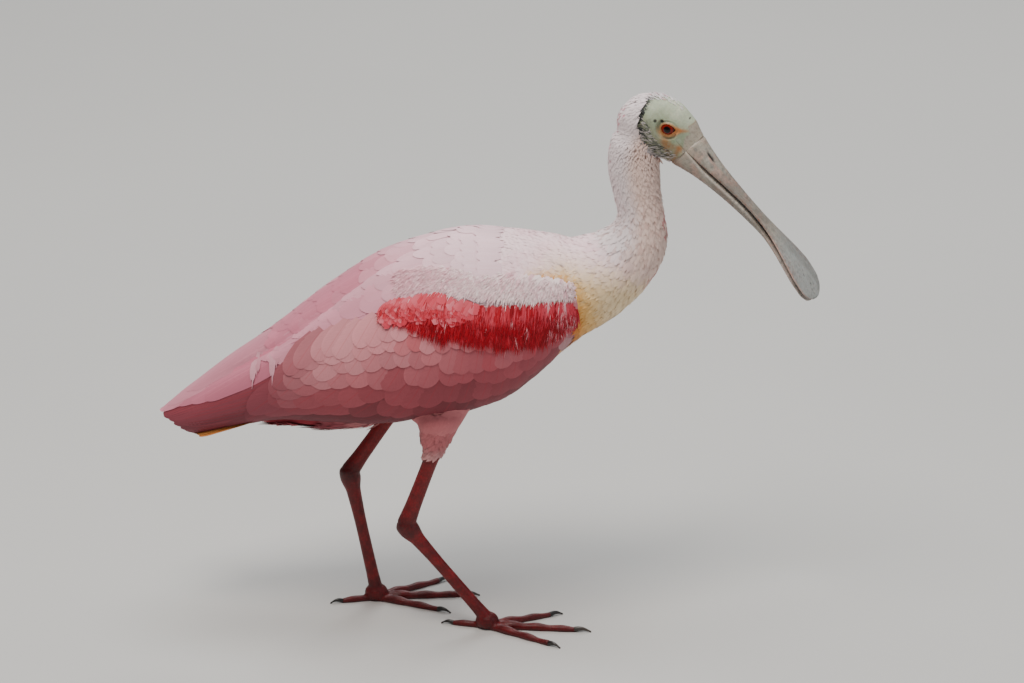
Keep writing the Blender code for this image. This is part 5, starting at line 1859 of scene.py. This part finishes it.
pale_look = plumage_look(
    "pale_pink_vanes", (2.0, 75.0, 40.0), 0.94, 1.01, 0.10, 0.62, 1.02, (0.95, 1.04), "#dd8f9b"
)
for side_name, near, dice in both_wings(131):
    # each tertial: station and degrees of root and tip, width
    tertials = [
        (-0.096, 51, -0.185, 60, 0.021),
        (-0.096, 47, -0.196, 53, 0.020),
        (-0.099, 43, -0.206, 44, 0.019),
        (-0.103, 39, -0.213, 35, 0.018),
        (-0.107, 35, -0.219, 26, 0.017),
        (-0.110, 31, -0.223, 18, 0.015),
        (-0.112, 27, -0.216, 11, 0.018),
    ]
    rows = np.array(tertials)
    if near < 0:
        rows[:, (1, 3)] -= 4.0
        below = [(-0.100, -34, -0.200, -30, 0.024), (-0.100, -22, -0.206, -20, 0.024)]
        above = [
            (-0.108, 15, -0.208, -4, 0.021), (-0.106, -9, -0.196, -22, 0.022),
            (-0.108, 3, -0.200, -13, 0.022)
        ]
        rows = np.vstack([below, rows, above])
    roots, tips = rows[:, :2] * (1, near), rows[:, 2:4] * (1, near)
    order = np.linspace(0, 1, len(rows))
    colours = pale_colour(rows[:, 2], rows[:, 3], 0.75 - 0.30 * order, dice)
    wings[f"tertials_{side_name}"] = lay_rows(
        f"tertials_{side_name}", roots, tips, rows[:, 4], 0.0008 + 0.0004 * order, 0.0018 + 0.0005 * order,
        colours, long_vanes, pale_look, 133, puff=0.0007,
    )
    spots, ends, wide, level, inner = [], [], [], [], []
    for row, x in enumerate(np.arange(-0.088, 0.064, 0.0105)):
        low_turn = np.interp(x, band_x, band_top) - 4 if x > -0.04 else 50 + 2 * smooth(-0.04, -0.09, x)
        inner_turn = cleft(x) * near + (3 if near > 0 else 1)
        girth = curve_through(BODY, x)[0, 1:].mean()
        count = max(
            int(np.radians(low_turn - inner_turn) * girth / (0.0105 - 0.0042 * smooth(0.0, 0.06, x))), 3
        )
        turns_here = (
            np.linspace(inner_turn + 2, low_turn - 3, count) + dice.normal(0, 1.2, count) + (row % 2) * 3.0
        )
        x_here = x + dice.normal(0, 0.0022, count)
        long = (0.046 - 0.025 * smooth(-0.05, 0.055, x_here)) * dice.uniform(0.90, 1.12, count)
        drift = (
            np.interp(turns_here, (0, 30, 60), (-2, 0, -2))
            - 6.0 * smooth(35, 60, turns_here) * smooth(-0.03, 0.03, x_here)
        )
        spots.append(np.column_stack([x_here, turns_here]))
        ends.append(np.column_stack([x_here - long, turns_here + drift]))
        wide.append(0.0195 - 0.0085 * smooth(-0.04, 0.055, x_here))
        level.append(np.full(count, row / 14.0))
        # partly painted shade: a darker rose line along the groove on the near pack, and the far pack rosier
        # at its top
        cleft_shade = smooth(12, 2, turns_here - inner_turn) if near > 0 else smooth(30, 6, turns_here)
        inner.append(cleft_shade * smooth(0.02, -0.03, x_here))
    spots, ends, wide, level, inner = (np.concatenate(part) for part in (spots, ends, wide, level, inner))
    colours = pale_colour(spots[:, 0] * 0.5 + ends[:, 0] * 0.5, spots[:, 1], inner, dice)
    wings[f"scapulars_{side_name}"] = lay_rows(
        f"scapular_feathers_{side_name}", spots * (1, near), ends * (1, near),
        wide * dice.uniform(0.92, 1.1, len(wide)),
        0.0010 + 0.0009 * level, 0.0021 + 0.0011 * level, colours, round_vanes, pale_look, 134, puff=0.0004,
    )

# Four narrow pale plumes, in two pairs, hang down from the tertials over the flight feathers.
# station and degrees of the root, then of the tip, width, depth at the root and at the tip
PLUMES = np.array([
    (-0.1375, 30.0, -0.1405, 61.0, 0.0050, 0.0018, 0.0025),
    (-0.1400, 29.0, -0.1452, 68.0, 0.0060, 0.0020, 0.0027),
    (-0.1205, 34.0, -0.1245, 62.0, 0.0050, 0.0018, 0.0025),
    (-0.1235, 33.0, -0.1288, 72.0, 0.0060, 0.0020, 0.0027),
])
for side_name, side in SIDES.items():
    wings[f"hanging_plumes_{side_name}"] = lay_rows(
        f"hanging_plumes_{side_name}", PLUMES[:, :2] * (1, -side), PLUMES[:, 2:4] * (1, -side),
        *PLUMES[:, 4:].T,
        paint("#c78795", "#d196a3", "#c78795", "#d196a3"), soft_feathers, soft_look, 137, puff=0.0002,
    )

# each piece of the wing, its material, and the plain solid that it takes the place of
WING_PIECES = [
    ("hanging_plumes", "pale_pink_plumage", ""),
    ("flight_feathers", "rose_plumage", "primaries"),
    ("wing_coverts", "rose_plumage", "wing_coverts"),
    ("carmine_band", "rose_plumage", ""),
    ("band_covers", "rose_plumage", ""),
    ("mantle_fringe", "white_plumage", ""),
    ("tertials", "pale_pink_plumage", ""),
    ("scapulars", "pale_pink_plumage", "scapulars"),
]
for side_name in SIDES:
    for piece, slot, solid in WING_PIECES:
        plumage[wings[f"{piece}_{side_name}"]] = (slot, [f"{solid}_{side_name}"] if solid else [])

# Tail
# Twelve stiff orange-buff feathers closed to a flat wedge under the wing tips.
tail_look = plumage_look("buff_tail_feathers", (2.0, 80.0, 30.0), 0.85, 1.05, 0.1, 0.55, 0.92)
tail_place = np.linspace(-1, 1, 12)
order = np.argsort(-np.abs(tail_place))
tail_place = tail_place[order]
root_spots = np.column_stack([np.full(12, -0.100), 0.010 * tail_place, 0.2015 - 0.0010 * np.abs(tail_place)])
tip_x = -0.1965 + 0.006 * np.abs(tail_place) ** 2
tip_spots = np.column_stack([tip_x, 0.0165 * tail_place, 0.1675 - 0.0016 * tail_place**2])
slab = bmesh.new()
bed = []
for share in np.linspace(-0.1, 1.12, 20):
    middle = np.array((-0.100, 0.0, 0.2000)) * (1 - share) + np.array((-0.1965, 0.0, 0.1665)) * share
    lane = np.linspace(-0.032, 0.032, 17)
    top = np.column_stack([np.full(17, middle[0]), lane, middle[2] - 0.0016 * (lane / 0.0165) ** 2])
    bed.append(np.vstack([top, (top - (0, 0, 0.0012))[::-1]]))
add_rings(slab, bed)
tail_form = make_object("tail_form", slab)
shade_smooth(tail_form)
unwrap, patch = cell_unwrap(12)
dice = default_rng(141)
buff, deep_buff = paint("#dc9a52", "#c87b3c")
size = (0.0078, np.linalg.norm(tip_spots - root_spots, axis=1))
tail_coat = grow_coat(
    "tail_feathers", root_spots, np.tile((-0.33, 0.0, 0.94), (12, 1)), tip_spots - root_spots, size,
    0.0002 + 0.00012 * np.arange(12), 0.0004 + 0.00016 * np.arange(12), 0.0006,
    mix(buff, deep_buff, dice.random(12)), long_vanes, tail_look, 142, tail_form, unwrap, patch,
)
plumage[tail_coat] = ("tail_buff", ["tail"])

# Bristles of the face and down of the crown
# A collar of short black bristles stands behind the bare face, with sparse grey ones over the ear, and wisps
# of white down from the nape reach forward over the crown.


def near_collar(points, low, high):
    """True near the black collar, between two distances from it towards the face."""
    ahead, left, up = to_head(points)
    apart = from_line(BAND, ahead, up)
    skull = (ahead > -0.056) & (ahead < 0.003) & (np.abs(left) < 0.024) & (up > -0.032) & (up < 0.030)
    return skull & (apart > low) & (apart < high)


back_of_head = -HEAD_AXES[0] * 0.75 - HEAD_AXES[2] * 0.45
spots, ways = skin_spots(0.00085, lambda p: near_collar(p, -0.0022, 0.0030), 151)
dice = default_rng(152)
ahead, left, up = to_head(spots)
whole = 0.9 - 0.8 * hump(ahead, -0.0375, 0.0018) - 0.55 * smooth(-0.036, -0.026, ahead)
keep = dice.random(len(spots)) < whole * (1 - 0.55 * smooth(-0.006, 0.000, up))
spots, ways, ahead = spots[keep], ways[keep], ahead[keep]
long = dice.uniform(0.0034, 0.0062, len(spots))
black, soot, silver = paint("#1d1f1e", "#4c504f", "#d2c9c6")
colours = mix(black, soot, dice.random(len(spots)))
pale = dice.random(len(spots)) < 0.15 + 0.45 * smooth(-0.037, -0.026, ahead)
colours[pale] = silver
collar = grow_coat(
    "collar_bristles", spots, ways, jitter(np.tile(back_of_head, (len(spots), 1)), 0.28, 153),
    (dice.uniform(0.0003, 0.0005, len(spots)), long), 0.0001, dice.uniform(0.0006, 0.0022, len(spots)),
    0.0003, colours, hair_tufts, hair_look, 154,
)


def on_ear(points):
    ahead, _, up = to_head(points)
    return near_collar(points, 0.0025, 0.0095) & (ahead > -0.041) & (up < -0.008)


spots, ways = skin_spots(0.0015, on_ear, 155)
dice = default_rng(156)
colours = np.where((dice.random(len(spots)) < 0.30)[:, None], soot, silver)
ear_coat = grow_coat(
    "ear_bristles", spots, ways, jitter(np.tile(back_of_head, (len(spots), 1)), 0.35, 157),
    (dice.uniform(0.00022, 0.0004, len(spots)), dice.uniform(0.0030, 0.0055, len(spots))), 0.0001,
    dice.uniform(0.0004, 0.0012, len(spots)), 0.0002, colours, hair_tufts, hair_look, 158,
)


def on_crown(points):
    ahead, left, up = to_head(points)
    half = 0.0050 + 0.004 * smooth(-0.040, -0.052, ahead)
    return (ahead > -0.056) & (ahead < -0.022) & (np.abs(left) < half) & (up > 0.004)


spots, ways = skin_spots(0.0012, on_crown, 161)
dice = default_rng(162)
ahead = to_head(spots)[0]
keep = dice.random(len(spots)) < 0.25 + 0.75 * smooth(-0.028, -0.048, ahead)
spots, ways = spots[keep], ways[keep]
down, rosy_down = paint("#efe8ea", "#dd9fae")
colours = np.where((dice.random(len(spots)) < 0.88)[:, None], down, rosy_down)
crown_coat = grow_coat(
    "crown_down", spots, ways,
    jitter(np.tile(-HEAD_AXES[0] - 0.2 * HEAD_AXES[2], (len(spots), 1)), 0.30, 163),
    (dice.uniform(0.0003, 0.0006, len(spots)), dice.uniform(0.0040, 0.0075, len(spots))), 0.0001,
    dice.uniform(0.0008, 0.0030, len(spots)), 0.0004, colours, hair_tufts, soft_look, 164,
)
for coat in (collar, ear_coat, crown_coat):
    plumage[coat] = ("white_plumage", [])
for helper in (wing_form, tail_form):
    bpy.data.objects.remove(helper)
plumage[skin] = ("bare_skin", covered_nodes)

# Putting the pieces on the frame
# Everything was measured from a point under the breast, and is now moved to the middle of the box.
# Each piece rides on the one still body and takes the place of the plain solids that it was built around.
STANDS_FOR = {}
for name, node in (("upper_bill_sheath", "bill_upper"), ("lower_bill_sheath", "bill_lower")):
    STANDS_FOR[bill[name]] = ("bill_horn", [node])
for side_name in SIDES:
    STANDS_FOR[eyes[side_name]] = ("eye", [f"eye_{side_name}"])
    STANDS_FOR[claws[side_name]] = ("claw_horn", [f"claw_{toe}_{side_name}" for toe in TOES])
STANDS_FOR.update(plumage)
for thing, (slot, nodes) in STANDS_FOR.items():
    put_points(thing, points_of(thing) + MEASURED_FROM)
    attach(thing, "root")
    if nodes:
        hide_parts(*nodes)

# Floor, light and camera
# A plain pale floor under soft studio lamps.
# The camera stands well back on a long lens and looks down by 22 degrees.
ground = bmesh.new()
bmesh.ops.create_grid(ground, x_segments=1, y_segments=1, size=14.0)
floor = make_object("studio_floor", ground)
pale_floor, tree, shader = new_material("pale_studio_floor", Roughness=0.85)
tones = add_node(tree, "ShaderNodeValToRGB", None, Fac=noise(tree, place_in(tree), 2.5, 3.0))
for element, shade in zip(tones.color_ramp.elements, ("#c2c2bf", "#cacac7")):
    element.color = (*paint(shade), 1.0)
tree.links.new(tones.outputs["Color"], shader.inputs["Base Color"])
floor.data.materials.append(pale_floor)

LOOK_AT = Vector((0.01815, 0.0010, VIEW_HEIGHT))
LAMPS = {
    "key": ((-0.6, -1.1, 2.9), 1.2, 66.0, "#fff6ee"),
    "fill": ((2.0, -1.3, 1.1), 1.6, 8.0, "#f1f5ff"),
    "back": ((0.4, 2.1, 1.9), 1.4, 26.0, "#ffffff"),
    "above": ((0.0, 0.2, 2.7), 1.6, 42.0, "#ffffff"),
}
for name, (spot, size, power, shade) in LAMPS.items():
    lamp = bpy.data.lights.new(name, "AREA")
    lamp.shape, lamp.size, lamp.energy, lamp.color = "DISK", size, power, paint(shade)
    stand = bpy.data.objects.new(name, lamp)
    stand.location = spot
    stand.rotation_euler = (LOOK_AT - Vector(spot)).to_track_quat("-Z", "Y").to_euler()
    bpy.context.scene.collection.objects.link(stand)
room = bpy.data.worlds.new("studio_room")
room.use_nodes = True
room.node_tree.nodes["Background"].inputs["Color"].default_value = (*paint("#e6e9ee"), 1.0)
room.node_tree.nodes["Background"].inputs["Strength"].default_value = 0.20
bpy.context.scene.world = room

view = bpy.data.cameras.new("photo_camera")
view.lens, view.sensor_width, view.clip_end = 300.0, 36.0, 60.0
camera = bpy.data.objects.new("photo_camera", view)
camera.location = LOOK_AT + Vector((0.0, -cos(VIEW_TILT), sin(VIEW_TILT))) * 7.04
camera.rotation_euler = (LOOK_AT - camera.location).to_track_quat("-Z", "Y").to_euler()
bpy.context.scene.collection.objects.link(camera)
bpy.context.scene.camera = camera
